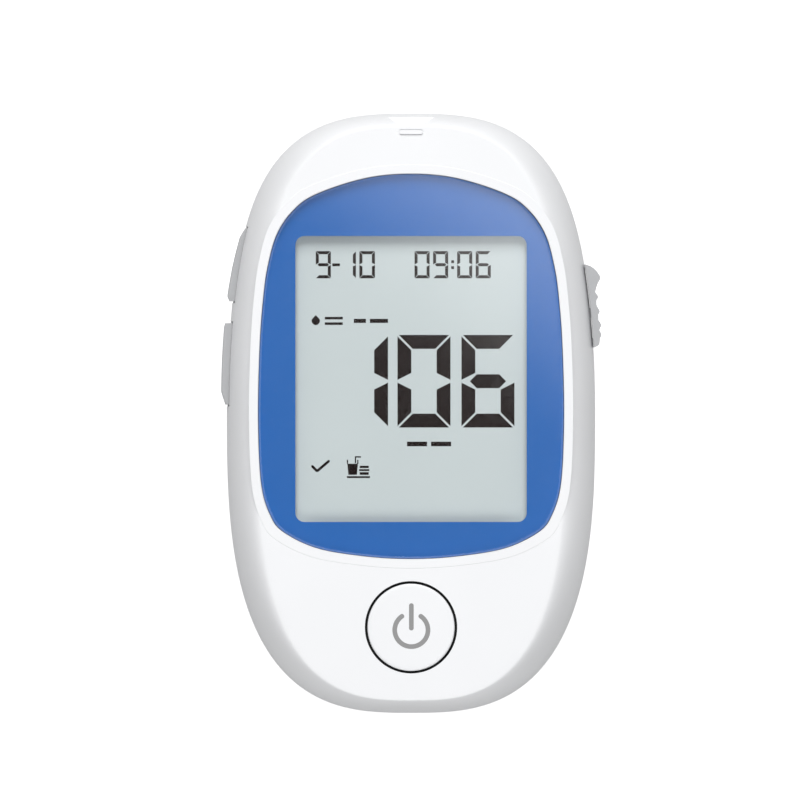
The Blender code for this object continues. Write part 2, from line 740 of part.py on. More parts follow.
def case_screw_places():
    upper = [(side * UPPER_SCREW_X, UPPER_SCREW_Y) for side in (-1, 1)]
    lower = [(side * LOWER_SCREW_X, LOWER_SCREW_Y) for side in (-1, 1)]
    return upper + lower


def board_screw_places():
    lower = (LOWER_BOARD_SCREW_X, LOWER_BOARD_SCREW_Y)
    upper = (UPPER_BOARD_SCREW_X, UPPER_BOARD_SCREW_Y)
    return [lower, upper]


def side_button_holes():
    """Cutters for the openings of both side buttons, through both case halves."""
    holes = []
    for top, bottom in side_button_spans():
        reach = (-HALF_WIDTH - OVERRUN - UPPER_BUTTON_PROUD, -side_at(top, WALL) + OVERRUN + WALL)
        heights = (SIDE_BUTTON_LOW - FIT, SIDE_BUTTON_HIGH + FIT)
        holes.append(box(reach, (bottom - FIT, top + FIT), heights))
    return holes


def slider_slot():
    """Cutter for the slot that the slider's neck runs in."""
    reach = (side_at(NECK_TOP_Y + EJECT_TRAVEL, WALL) - OVERRUN, HALF_WIDTH + OVERRUN)
    along = (NECK_BOTTOM_Y - FIT, NECK_TOP_Y + EJECT_TRAVEL + FIT)
    return box(reach, along, (NECK_LOW - FIT, NECK_HIGH + FIT))


def make_front_cover(materials):
    cover = make_object("front_cover", front_shell(), materials["white"])
    surround = prism(lens_loop(-LEDGE_SURROUND), LEDGE_UNDERSIDE, CEILING + WALL / 2)
    combine(cover, "lens_surround", surround, "UNION")
    post_top = CEILING + WALL / 4
    posts = []
    for x, y in case_screw_places():
        profile = [(FRONT_POST_RADIUS, REAR_POST_HEIGHT + FIT), (FRONT_POST_RADIUS, post_top)]
        posts.append(moved(turned(profile, CIRCLE_STEPS), x, y))
    for x, y in board_screw_places():
        profile = [(BOARD_POST_RADIUS, BOARD_TOP + FIT), (BOARD_POST_RADIUS, post_top)]
        posts.append(moved(turned(profile, CIRCLE_STEPS), x, y))
    combine(cover, "front_posts", merged(posts), "UNION")
    above = CASE_HEIGHT + OVERRUN
    combine(cover, "lens_pocket", prism(lens_loop(-LENS_GAP), LEDGE_TOP, above), "DIFFERENCE")
    opening = prism(lens_loop(LEDGE_WIDTH), LEDGE_UNDERSIDE - OVERRUN, above)
    combine(cover, "lens_opening", opening, "DIFFERENCE")
    power_hole = turned([(POWER_HOLE_RADIUS, CEILING - OVERRUN), (POWER_HOLE_RADIUS, above)], BUTTON_STEPS)
    combine(cover, "power_hole", moved(power_hole, 0, POWER_Y), "DIFFERENCE")
    combine(cover, "front_pilots", merged(front_pilot_holes()), "DIFFERENCE")
    cuts = side_button_holes() + [slider_slot(), strip_slot()]
    combine(cover, "front_side_cuts", merged(cuts), "DIFFERENCE")
    combine(cover, "strip_notch", strip_notch(), "DIFFERENCE")
    mark = combine(cover, "strip_mark", stacked_rings(front_skin(MARK_RISE)), "UNION")
    pill = rounded_rectangle(
        MARK_HALF_WIDTH,
        MARK_CENTRE_Y - MARK_HALF_DEPTH,
        MARK_CENTRE_Y + MARK_HALF_DEPTH,
        MARK_HALF_DEPTH - BOND,
    )
    combine(mark, "strip_mark_outline", prism(pill, CEILING - WALL, above), "INTERSECT")
    return cover


def front_pilot_holes():
    holes = []
    pilot = SCREW_SHANK_RADIUS + FIT
    top = WELL_DEPTH - FIT + SCREW_SHANK_LENGTH + OVERRUN
    for x, y in case_screw_places():
        holes.append(moved(turned([(pilot, REAR_POST_HEIGHT - OVERRUN), (pilot, top)], CIRCLE_STEPS), x, y))
    pilot = BOARD_SCREW_SHANK_RADIUS + FIT
    top = BOARD_UNDERSIDE - FIT + BOARD_SCREW_SHANK_LENGTH + FIT
    for x, y in board_screw_places():
        holes.append(moved(turned([(pilot, BOARD_TOP - OVERRUN), (pilot, top)], CIRCLE_STEPS), x, y))
    return holes


def strip_slot():
    """Cutter for the opening that a test strip passes through."""
    half = STRIP_SLOT_HALF_WIDTH + FIT
    along = (PORT_TOP_Y, HALF_LENGTH + OVERRUN)
    return box((-half, half), along, (STRIP_SLOT_LOW, STRIP_SLOT_HIGH))


def strip_notch():
    """Cutter for the tapering notch over the strip opening."""
    tip = HALF_LENGTH - NOTCH_DEPTH
    slope = (NOTCH_HALF_WIDTH - NOTCH_TIP_HALF_WIDTH) / NOTCH_DEPTH
    outer = NOTCH_HALF_WIDTH + slope * OVERRUN
    far = HALF_LENGTH + OVERRUN
    inner = NOTCH_TIP_HALF_WIDTH
    loop = [(-inner, tip), (inner, tip), (outer, far), (-outer, far)]
    return prism(loop, STRIP_SLOT_LOW, CASE_HEIGHT + OVERRUN)


def strip_ramp():
    """Cutter for the slope that leads a strip into its opening."""
    tip = HALF_LENGTH - NOTCH_DEPTH
    seam_low = PARTING_HEIGHT - SEAM / 2
    slope = RAMP_DROP / NOTCH_DEPTH
    far = HALF_LENGTH + OVERRUN
    top = PARTING_HEIGHT + LIP_HEIGHT + OVERRUN
    profile = [(tip, top), (tip, seam_low), (far, seam_low - RAMP_DROP - slope * OVERRUN), (far, top)]
    return side_prism(profile, (-NOTCH_HALF_WIDTH, NOTCH_HALF_WIDTH))


def mirrored_boxes(x_range, y_range, z_range):
    near, far = x_range
    return [box((-far, -near), y_range, z_range), box(x_range, y_range, z_range)]


def rear_interior(cover):
    """Adds the battery tub, door ledges, screw posts and spring seat inside the back."""
    ledge_out = DOOR_HALF_WIDTH + FIT + LEDGE_STRIP_OVERLAP
    ledge_heights = (DOOR_WALL - FIT, LEDGE_STRIP_HIGH)
    tub_y = (BAY_BOTTOM_Y - BAY_WALL, BAY_TOP_Y + BAY_WALL)
    tub = box((-TUB_HALF_WIDTH, TUB_HALF_WIDTH), tub_y, (DOOR_WALL - FIT, TUB_TOP))
    inside = combine(cover, "rear_interior", tub, "UNION")
    behind = BAY_BOTTOM_Y - BAY_WALL / 2
    ledge_y = (behind, DOOR_TOP_Y + FIT + LEDGE_STRIP_OVERLAP)
    combine(inside, "door_ledge", box((-ledge_out, ledge_out), ledge_y, ledge_heights), "UNION")
    shelf_low = DOOR_CURL_HEIGHT + FIT + FIT
    bulkhead_x = (-ledge_out - FIT, ledge_out + FIT)
    bulkhead_y = (tub_y[0] - FIT, BAY_BOTTOM_Y - FIT)
    bulkhead = box(bulkhead_x, bulkhead_y, (DOOR_WALL, shelf_low + BAY_WALL / 2))
    combine(inside, "end_bulkhead", bulkhead, "UNION")
    shelf = box((-ledge_out, ledge_out), (-HALF_LENGTH, behind), (shelf_low, shelf_low + BAY_WALL))
    combine(inside, "end_shelf", shelf, "UNION")
    posts = []
    for x, y in case_screw_places():
        profile = [(REAR_POST_RADIUS, WALL / 2), (REAR_POST_RADIUS, REAR_POST_HEIGHT)]
        posts.append(moved(turned(profile, CIRCLE_STEPS), x, y))
    seat_x = (SPRING_X - SPRING_SEAT_HALF_WIDTH, SPRING_X + SPRING_SEAT_HALF_WIDTH)
    seat_y = spring_end_y() + FIT
    posts.append(box(seat_x, (seat_y, seat_y + SPRING_SEAT_THICKNESS), (WALL / 2, COMPONENT_TOP)))
    combine(inside, "rear_posts", merged(posts), "UNION")
    core_profile = back_rings(WALL / 2)
    top = (core_profile[0][0], CASE_HEIGHT)
    combine(inside, "rear_core", stacked_rings(case_rings([top] + core_profile)), "INTERSECT")


def door_opening(cover):
    """Cuts the battery door's place, its hook slots and the bay itself."""
    half = DOOR_HALF_WIDTH + FIT
    skin = combine(cover, "door_cavity", back_skin(DOOR_CAVITY_DEPTH, OVERRUN), "DIFFERENCE")
    along = (-HALF_LENGTH - OVERRUN - OVERRUN, DOOR_TOP_Y + FIT)
    reach = box((-half, half), along, (-OVERRUN - OVERRUN, DOOR_CURL_HEIGHT + FIT))
    combine(skin, "door_cavity_reach", reach, "INTERSECT")
    bay = box((-BAY_HALF_WIDTH, BAY_HALF_WIDTH), (BAY_BOTTOM_Y, BAY_TOP_Y), (0, BAY_CEILING))
    combine(cover, "battery_bay", bay, "DIFFERENCE")
    tail_y = (BAY_BOTTOM_Y, BAY_BOTTOM_Y + FIT + PLATE_THICKNESS + FIT)
    tails = []
    for side in (-1, 1):
        centre = side * CELL_SPACING / 2
        across = (centre - TAIL_HALF_WIDTH - FIT, centre + TAIL_HALF_WIDTH + FIT)
        tails.append(box(across, tail_y, (BAY_CEILING - FIT, TUB_TOP + OVERRUN)))
    combine(cover, "contact_tail_slots", merged(tails), "DIFFERENCE")
    low = LEDGE_STRIP_LOW - FIT
    high = LEDGE_STRIP_HIGH + FIT
    webs = []
    toes = []
    for start in (UPPER_HOOK_Y, LOWER_HOOK_Y):
        back = start - DOOR_TRAVEL - FIT
        web = (HOOK_WEB_X - FIT, HOOK_WEB_X + HOOK_WEB_THICKNESS + FIT)
        webs += mirrored_boxes(web, (back - FIT, start + HOOK_LENGTH + FIT), (low, high))
        toe = (HOOK_WEB_X, HOOK_WEB_X + HOOK_WEB_THICKNESS + HOOK_TOE + FIT)
        toes += mirrored_boxes(toe, (back, back + FIT + HOOK_LENGTH + FIT), (low, high))
    combine(cover, "hook_slots", merged(webs), "DIFFERENCE")
    combine(cover, "hook_notches", merged(toes), "DIFFERENCE")


def make_rear_cover(materials):
    cover = make_object("rear_cover", rear_shell(), materials["white"])
    rear_interior(cover)
    door_opening(cover)
    shank_hole = SCREW_SHANK_RADIUS + FIT
    well = [
        (WELL_RADIUS, -OVERRUN),
        (WELL_RADIUS, WELL_DEPTH),
        (shank_hole, WELL_DEPTH),
        (shank_hole, REAR_POST_HEIGHT + OVERRUN),
    ]
    wells = [moved(turned(well, CIRCLE_STEPS), x, y) for x, y in case_screw_places()]
    combine(cover, "screw_wells", merged(wells), "DIFFERENCE")
    cuts = side_button_holes() + [slider_slot()]
    combine(cover, "rear_side_cuts", merged(cuts), "DIFFERENCE")
    combine(cover, "strip_ramp", strip_ramp(), "DIFFERENCE")
    return cover


def make_battery_door(materials):
    origin = (0, (DOOR_TOP_Y - HALF_LENGTH) / 2, DOOR_WALL / 2)
    door = make_object("battery_door", back_skin(DOOR_WALL, 0), materials["white"], origin)
    reach_y = (-HALF_LENGTH - OVERRUN, DOOR_TOP_Y)
    reach = box((-DOOR_HALF_WIDTH, DOOR_HALF_WIDTH), reach_y, (-OVERRUN, DOOR_CURL_HEIGHT))
    combine(door, "door_reach", reach, "INTERSECT")
    toe_low = LEDGE_STRIP_HIGH + FIT
    webs = []
    toes = []
    for start in (UPPER_HOOK_Y, LOWER_HOOK_Y):
        along = (start, start + HOOK_LENGTH)
        web = (HOOK_WEB_X, HOOK_WEB_X + HOOK_WEB_THICKNESS)
        webs += mirrored_boxes(web, along, (DOOR_WALL / 2, toe_low + HOOK_TOE_THICKNESS))
        toe = (HOOK_WEB_X + HOOK_WEB_THICKNESS / 2, HOOK_WEB_X + HOOK_WEB_THICKNESS + HOOK_TOE)
        toes += mirrored_boxes(toe, along, (toe_low, toe_low + HOOK_TOE_THICKNESS))
    combine(door, "door_webs", merged(webs), "UNION")
    combine(door, "door_toes", merged(toes), "UNION")
    grips = []
    for index in range(GRIP_COUNT):
        bottom = GRIP_BOTTOM_Y + index * GRIP_PITCH
        across = (-GRIP_HALF_WIDTH, GRIP_HALF_WIDTH)
        grips.append(box(across, (bottom, bottom + GRIP_WIDTH), (-OVERRUN, GRIP_DEPTH)))
    combine(door, "door_grips", merged(grips), "DIFFERENCE")
    return door


# Window and display

def make_window(materials):
    bevel = LENS_BEVEL
    rings = [
        at_height(lens_loop(0), LENS_UNDERSIDE),
        at_height(lens_loop(0), LENS_TOP - bevel),
        at_height(lens_loop(bevel), LENS_TOP),
    ]
    make_object("window_lens", stacked_rings(rings), materials["clear"])
    mask = prism(lens_loop(FIT), MASK_TOP - MASK_THICKNESS, MASK_TOP)
    mask_object = make_object("window_mask", mask, materials["blue"])
    view = rounded_rectangle(VIEW_HALF_WIDTH, VIEW_BOTTOM_Y, VIEW_TOP_Y, VIEW_CORNER)
    view_cut = prism(view, MASK_TOP - OVERRUN, MASK_TOP + OVERRUN)
    combine(mask_object, "view_opening", view_cut, "DIFFERENCE")
    tape = prism(lens_loop(FIT), TAPE_TOP - TAPE_THICKNESS, TAPE_TOP)
    tape_object = make_object("window_tape", tape, materials["tape"])
    tape_cut = prism(lens_loop(TAPE_WIDTH + FIT), TAPE_TOP - OVERRUN, TAPE_TOP + OVERRUN)
    combine(tape_object, "tape_opening", tape_cut, "DIFFERENCE")


def make_display(materials):
    seam = GLASS_UNDERSIDE + GLASS_PLATE
    ledge = GLASS_BOTTOM_Y + GLASS_LEDGE
    profile = [
        (GLASS_BOTTOM_Y, GLASS_TOP),
        (GLASS_BOTTOM_Y, seam),
        (ledge, seam),
        (ledge, GLASS_UNDERSIDE),
        (GLASS_TOP_Y, GLASS_UNDERSIDE),
        (GLASS_TOP_Y, GLASS_TOP),
    ]
    glass = side_prism(profile, (-GLASS_HALF_WIDTH, GLASS_HALF_WIDTH))
    make_object("lcd_glass", glass, materials["glass"])
    holder_bottom = BOARD_TOP + FIT
    across = GLASS_HALF_WIDTH + FIT + HOLDER_WALL
    near = GLASS_BOTTOM_Y - FIT - HOLDER_WALL
    far = GLASS_TOP_Y + FIT + HOLDER_WALL
    outside = box((-across, across), (near, far), (holder_bottom, GLASS_TOP - FIT))
    holder = make_object("lcd_holder", outside, materials["holder"])
    pocket_x = (-GLASS_HALF_WIDTH - FIT, GLASS_HALF_WIDTH + FIT)
    pocket_y = (GLASS_BOTTOM_Y - FIT, GLASS_TOP_Y + FIT)
    pocket = box(pocket_x, pocket_y, (GLASS_UNDERSIDE - FIT, GLASS_TOP + OVERRUN))
    combine(holder, "glass_pocket", pocket, "DIFFERENCE")
    shelf = GLASS_HALF_WIDTH - HOLDER_SHELF
    light_y = (ledge + HOLDER_SHELF, GLASS_TOP_Y - HOLDER_SHELF)
    through = (holder_bottom - OVERRUN, GLASS_TOP)
    combine(holder, "light_opening", box((-shelf, shelf), light_y, through), "DIFFERENCE")
    zebra_near = GLASS_BOTTOM_Y + FIT
    zebra_y = (zebra_near, zebra_near + ZEBRA_WIDTH)
    slot_x = (-ZEBRA_HALF_LENGTH - FIT, ZEBRA_HALF_LENGTH + FIT)
    slot = box(slot_x, (zebra_y[0] - FIT, zebra_y[1] + FIT), through)
    combine(holder, "zebra_slot", slot, "DIFFERENCE")
    light = shelf - FIT
    light_top = GLASS_UNDERSIDE - FIT
    light_range = (light_y[0] + FIT, light_y[1] - FIT)
    panel = box((-light, light), light_range, (light_top - BACKLIGHT_THICKNESS, light_top))
    make_object("backlight_panel", panel, materials["diffuser"])
    zebra_x = (-ZEBRA_HALF_LENGTH, ZEBRA_HALF_LENGTH)
    zebra = box(zebra_x, zebra_y, (BOARD_TOP + FIT, seam - FIT))
    make_object("zebra_strip", zebra, materials["rubber"])


# Board and what it carries

def make_board(materials):
    loop = case_loop(BOARD_INSET)
    board = make_object("main_board", prism(loop, BOARD_UNDERSIDE, BOARD_TOP), materials["board"])
    low = BOARD_UNDERSIDE - OVERRUN
    high = BOARD_TOP + OVERRUN
    holes = []
    for x, y in case_screw_places():
        radius = FRONT_POST_RADIUS + FIT
        holes.append(moved(turned([(radius, low), (radius, high)], CIRCLE_STEPS), x, y))
    for x, y in board_screw_places():
        radius = BOARD_SCREW_SHANK_RADIUS + FIT
        holes.append(moved(turned([(radius, low), (radius, high)], CIRCLE_STEPS), x, y))
    combine(board, "board_holes", merged(holes), "DIFFERENCE")


def make_components(materials):
    chip_heights = (COMPONENT_TOP - CHIP_HEIGHT, COMPONENT_TOP)
    processor_x = (PROCESSOR_X - PROCESSOR_HALF, PROCESSOR_X + PROCESSOR_HALF)
    processor_y = (PROCESSOR_Y - PROCESSOR_HALF, PROCESSOR_Y + PROCESSOR_HALF)
    processor = box(processor_x, processor_y, chip_heights)
    make_object("processor_chip", processor, materials["black"])
    amplifier_x = (AMPLIFIER_X - AMPLIFIER_HALF_WIDTH, AMPLIFIER_X + AMPLIFIER_HALF_WIDTH)
    amplifier_y = (AMPLIFIER_Y - AMPLIFIER_HALF_LENGTH, AMPLIFIER_Y + AMPLIFIER_HALF_LENGTH)
    amplifier = box(amplifier_x, amplifier_y, chip_heights)
    make_object("amplifier_chip", amplifier, materials["black"])
    half = CRYSTAL_LENGTH / 2
    crystal = laid_along_y(turned([(CRYSTAL_RADIUS, -half), (CRYSTAL_RADIUS, half)], CIRCLE_STEPS))
    crystal = moved(crystal, CRYSTAL_X, CRYSTAL_Y, COMPONENT_TOP - CRYSTAL_RADIUS)
    make_object("clock_crystal", crystal, materials["steel"])
    low = COMPONENT_TOP - BUZZER_HEIGHT
    buzzer = turned([(BUZZER_RADIUS, low), (BUZZER_RADIUS, COMPONENT_TOP)], CIRCLE_STEPS)
    make_object("buzzer", moved(buzzer, BUZZER_X, BUZZER_Y), materials["black"])


def screw(head_radius, head_height, shank_radius, shank_length, seat):
    """A screw standing head down, its head's upper face at the seat height."""
    profile = [
        (head_radius, seat - head_height),
        (head_radius, seat),
        (shank_radius, seat),
        (shank_radius, seat + shank_length - shank_radius),
        (shank_radius / 2, seat + shank_length),
    ]
    return turned(profile, CIRCLE_STEPS)


def make_screws(materials):
    seat = WELL_DEPTH - FIT
    face = seat - SCREW_HEAD_HEIGHT
    half = SCREW_RECESS_LENGTH / 2
    thin = SCREW_RECESS_WIDTH / 2
    heights = (face - OVERRUN, face + SCREW_RECESS_DEPTH)
    for index, (x, y) in enumerate(case_screw_places(), start=1):
        body = screw(SCREW_HEAD_RADIUS, SCREW_HEAD_HEIGHT, SCREW_SHANK_RADIUS, SCREW_SHANK_LENGTH, seat)
        origin = (x, y, seat)
        made = make_object(f"case_screw_{index}", moved(body, x, y), materials["steel"], origin)
        slot = moved(box((-half, half), (-thin, thin), heights), x, y)
        combine(made, f"screw_slot_{index}", slot, "DIFFERENCE")
        cross = moved(box((-thin, thin), (-half, half), heights), x, y)
        combine(made, f"screw_cross_{index}", cross, "DIFFERENCE")
    seat = BOARD_UNDERSIDE - FIT
    for index, (x, y) in enumerate(board_screw_places(), start=1):
        sizes = (BOARD_SCREW_HEAD_RADIUS, BOARD_SCREW_HEAD_HEIGHT, BOARD_SCREW_SHANK_RADIUS)
        body = screw(*sizes, BOARD_SCREW_SHANK_LENGTH, seat)
        make_object(f"board_screw_{index}", moved(body, x, y), materials["steel"], (x, y, seat))


# Power button

def make_power_button(materials):
    top = CASE_HEIGHT
    cap_radius = POWER_HOLE_RADIUS - POWER_GAP
    flange_radius = POWER_HOLE_RADIUS + POWER_FLANGE
    flange_top = CEILING - FIT
    flange_low = flange_top - POWER_FLANGE_THICKNESS
    switch_low = BOARD_TOP + FIT
    switch_top = switch_low + SWITCH_HEIGHT
    plunger_top = switch_top + PLUNGER_PROUD
    stem_low = plunger_top + FIT
    profile = [
        (POWER_STEM_RADIUS, stem_low),
        (POWER_STEM_RADIUS, flange_low),
        (flange_radius, flange_low),
        (flange_radius, flange_top),
        (cap_radius, flange_top),
        (cap_radius, top - POWER_EDGE_ROUND),
        (cap_radius - POWER_EDGE_ROUND, top),
    ]
    origin = (0, POWER_Y, top)
    cap = moved(turned(profile, BUTTON_STEPS), 0, POWER_Y)
    make_object("power_button", cap, materials["white"], origin)
    base = turned([(SWITCH_RADIUS, switch_low), (SWITCH_RADIUS, switch_top)], CIRCLE_STEPS)
    base_object = make_object("power_switch_base", moved(base, 0, POWER_Y), materials["black"])
    bore_radius = PLUNGER_RADIUS + FIT
    bore_floor = switch_top - SWITCH_BORE_DEPTH
    bore = turned([(bore_radius, bore_floor), (bore_radius, switch_top + OVERRUN)], CIRCLE_STEPS)
    combine(base_object, "power_switch_bore", moved(bore, 0, POWER_Y), "DIFFERENCE")
    plunger_low = bore_floor + POWER_TRAVEL + FIT
    plunger = turned([(PLUNGER_RADIUS, plunger_low), (PLUNGER_RADIUS, plunger_top)], CIRCLE_STEPS)
    make_object("power_switch_plunger", moved(plunger, 0, POWER_Y), materials["grey"], origin)


# Side buttons

def side_button_spans():
    upper = (UPPER_BUTTON_TOP_Y, UPPER_BUTTON_BOTTOM_Y)
    lower = (LOWER_BUTTON_TOP_Y, LOWER_BUTTON_BOTTOM_Y)
    return [upper, lower]


def side_button_solid(top, bottom, proud, shares):
    """The pressed part of a side button: its outside follows the case, plus a proud height."""
    outside = []
    for along, height in shares:
        y = top - (top - bottom) * along
        outside.append((-side_at(y, 0) - proud * height, y))
    inside = []
    for along, height in shares[::-1]:
        y = top - (top - bottom) * along
        inside.append((-side_at(y, WALL) + SIDE_FLANGE_GAP + SIDE_FLANGE / 2, y))
    return prism(outside + inside, SIDE_BUTTON_LOW, SIDE_BUTTON_HIGH)


def side_flange_solid(top, bottom):
    """The plate behind a side button that keeps it in the case."""
    high_y = top + SIDE_FLANGE_MARGIN
    low_y = bottom - SIDE_FLANGE_MARGIN
    fall = (low_y - high_y) / FLANGE_STEPS
    ys = [high_y + fall * step for step in range(FLANGE_STEPS + 1)]
    outer = [(-side_at(y, WALL) + SIDE_FLANGE_GAP, y) for y in ys]
    inner = [(-side_at(y, WALL) + SIDE_FLANGE_GAP + SIDE_FLANGE, y) for y in ys[::-1]]
    heights = (SIDE_BUTTON_LOW - SIDE_FLANGE_MARGIN, SIDE_BUTTON_HIGH + FIT)
    return prism(outer + inner, *heights)


def make_side_button(name, span, proud, shares, materials):
    top, bottom = span
    middle = (top + bottom) / 2
    flange_inside = -side_at(middle, WALL) + SIDE_FLANGE_GAP + SIDE_FLANGE
    stem_tip = flange_inside + SIDE_STEM_LENGTH
    axis_z = (SIDE_STEM_LOW + SIDE_STEM_HIGH) / 2
    origin = (-side_at(middle, 0), middle, axis_z)
    body = side_button_solid(top, bottom, proud, shares)
    button = make_object(f"{name}_side_button", body, materials["grey"], origin)
    combine(button, f"{name}_flange", side_flange_solid(top, bottom), "UNION")
    stem_y = (middle - SIDE_STEM_HALF_LENGTH, middle + SIDE_STEM_HALF_LENGTH)
    stem = box((flange_inside - SIDE_FLANGE / 2, stem_tip), stem_y, (SIDE_STEM_LOW, SIDE_STEM_HIGH))
    combine(button, f"{name}_stem", stem, "UNION")
    plunger_tip = stem_tip + FIT
    face = plunger_tip + SIDE_PLUNGER_PROUD
    base_y = (middle - SIDE_SWITCH_HALF_LENGTH, middle + SIDE_SWITCH_HALF_LENGTH)
    base = box((face, face + SIDE_SWITCH_DEPTH), base_y, (SIDE_SWITCH_LOW, COMPONENT_TOP))
    base_object = make_object(f"{name}_switch_base", base, materials["black"])
    bore_radius = SIDE_PLUNGER_RADIUS + FIT
    bore_end = face + SIDE_BORE_DEPTH
    bore = laid_along_x(turned([(bore_radius, -bore_end), (bore_radius, -face + OVERRUN)], CIRCLE_STEPS))
    combine(base_object, f"{name}_bore", moved(bore, 0, middle, axis_z), "DIFFERENCE")
    plunger_end = bore_end - SIDE_BUTTON_TRAVEL - FIT
    ends = [(SIDE_PLUNGER_RADIUS, -plunger_end), (SIDE_PLUNGER_RADIUS, -plunger_tip)]
    plunger = moved(laid_along_x(turned(ends, CIRCLE_STEPS)), 0, middle, axis_z)
    make_object(f"{name}_switch_plunger", plunger, materials["grey"], origin)


# Strip ejector

def make_ejector_slider(materials):
    outside = []
    inside = []
    for along, height in SLIDER_SHARES:
        y = SLIDER_TOP_Y - (SLIDER_TOP_Y - SLIDER_BOTTOM_Y) * along
        edge = side_at(y, 0) + SLIDER_GAP
        outside.append((edge + SLIDER_THIN + SLIDER_PROUD * height, y))
        inside.append((edge, y))
    loop = outside + inside[::-1]
    origin = (HALF_WIDTH, (NECK_TOP_Y + NECK_BOTTOM_Y) / 2, (NECK_LOW + NECK_HIGH) / 2)
    knob = make_object("ejector_slider", prism(loop, SLIDER_LOW, SLIDER_HIGH), materials["grey"], origin)
    neck_root = side_at(NECK_TOP_Y, 0) + SLIDER_GAP + SLIDER_THIN
    neck_x = (PUSHER_PLATE_X + PUSHER_PLATE_THICKNESS + FIT, neck_root)
    neck = box(neck_x, (NECK_BOTTOM_Y, NECK_TOP_Y), (NECK_LOW, NECK_HIGH))
    combine(knob, "slider_neck", neck, "UNION")


def spring_start_y():
    return PUSHER_PLATE_BOTTOM_Y + PUSHER_ARM_WIDTH + FIT


def spring_end_y():
    return spring_start_y() + SPRING_LENGTH


def make_ejector_pusher(materials):
    origin = (HALF_WIDTH, (NECK_TOP_Y + NECK_BOTTOM_Y) / 2, (NECK_LOW + NECK_HIGH) / 2)
    plate_x = (PUSHER_PLATE_X, PUSHER_PLATE_X + PUSHER_PLATE_THICKNESS)
    plate_y = (PUSHER_PLATE_BOTTOM_Y, PUSHER_PLATE_TOP_Y)
    plate = box(plate_x, plate_y, (NECK_LOW - PUSHER_PLATE_THICKNESS, PUSHER_HIGH))
    pusher = make_object("ejector_pusher", plate, materials["black"], origin)
    arm_y = (PUSHER_PLATE_BOTTOM_Y, PUSHER_PLATE_BOTTOM_Y + PUSHER_ARM_WIDTH)
    arm_x = (-FINGER_HALF_WIDTH, PUSHER_PLATE_X + PUSHER_PLATE_THICKNESS / 2)
    arm = box(arm_x, arm_y, (PUSHER_LOW, PUSHER_HIGH))
    combine(pusher, "pusher_arm", arm, "UNION")
    finger_z = (STRIP_SLOT_LOW + FIT, STRIP_SLOT_HIGH - FIT)
    finger_x = (-FINGER_HALF_WIDTH + BOND, FINGER_HALF_WIDTH)
    finger = box(finger_x, (arm_y[0] + PUSHER_ARM_WIDTH / 2, FINGER_TOP_Y), finger_z)
    combine(pusher, "pusher_finger", finger, "UNION")
    wire = coil((SPRING_RADIUS, SPRING_RADIUS), SPRING_WIRE, SPRING_LENGTH, SPRING_TURNS)
    spring = moved(laid_along_y(wire), SPRING_X, spring_start_y(), (PUSHER_LOW + PUSHER_HIGH) / 2)
    make_object("ejector_spring", spring, materials["steel"])


def make_strip_port(materials):
    across = (-PORT_HALF_WIDTH, PORT_HALF_WIDTH)
    housing = box(across, (PORT_BOTTOM_Y, PORT_TOP_Y), (PORT_LOW, COMPONENT_TOP))
    port = make_object("strip_port", housing, materials["black"])
    slot_x = (-STRIP_SLOT_HALF_WIDTH, STRIP_SLOT_HALF_WIDTH)
    through = (PORT_BOTTOM_Y - OVERRUN, PORT_TOP_Y + OVERRUN)
    channel = box(slot_x, through, (STRIP_SLOT_LOW, STRIP_SLOT_HIGH))
    combine(port, "strip_channel", channel, "DIFFERENCE")
    pocket_far = PORT_TOP_Y - CONTACT_POCKET_INSET
    pocket_near = pocket_far - CONTACT_LENGTH - FIT
    pocket = box(slot_x, (pocket_near, pocket_far), (STRIP_SLOT_HIGH - FIT, CONTACT_POCKET_HIGH))
    combine(port, "contact_pocket", pocket, "DIFFERENCE")
    near = pocket_near + FIT / 2
    far = pocket_far - FIT / 2
    bump = near + (far - near) / 3
    high = CONTACT_POCKET_HIGH - BOND
    low = STRIP_SLOT_HIGH - FIT
    middle = (high + low) / 2
    thin = CONTACT_THICKNESS
    profile = [
        (far, high),
        (far, high - thin),
        (bump, low),
        (near, middle),
        (near, middle + thin),
        (bump, low + thin),
    ]
    first = -CONTACT_PITCH * (CONTACT_COUNT - 1) / 2
    for index in range(CONTACT_COUNT):
        centre = first + index * CONTACT_PITCH
        ends = (centre - CONTACT_WIDTH / 2, centre + CONTACT_WIDTH / 2)
        make_object(f"strip_contact_{index + 1}", side_prism(profile, ends), materials["gold"])


# Batteries and their contacts

def cell_solid(side, toward):
    """One cell at its side of the bay, its positive nub toward +Y (1) or -Y (-1)."""
    shoulder = CELL_LENGTH - CELL_NUB_LENGTH
    profile = [
        (CELL_RADIUS - CELL_EDGE, 0),
        (CELL_RADIUS, CELL_EDGE),
        (CELL_RADIUS, shoulder - CELL_EDGE),
        (CELL_RADIUS - CELL_EDGE, shoulder),
        (CELL_NUB_RADIUS, shoulder),
        (CELL_NUB_RADIUS, CELL_LENGTH),
    ]
    cell = laid_along_y(turned(profile, CIRCLE_STEPS))
    if toward < 0:
        bmesh.ops.rotate(cell, verts=cell.verts, matrix=Matrix.Rotation(math.pi, 3, "Z"))
    return moved(cell, side * CELL_SPACING / 2, cell_base_y(toward), CELL_HEIGHT)


def contact_clearance():
    """From a bay end wall to the nub or spring that a contact plate there touches."""
    return FIT + PLATE_THICKNESS + FIT


def cell_base_y(toward):
    """Place of a cell's flat negative end."""
    if toward > 0:
        return BAY_TOP_Y - contact_clearance() - CELL_LENGTH
    return BAY_BOTTOM_Y + contact_clearance() + CELL_LENGTH


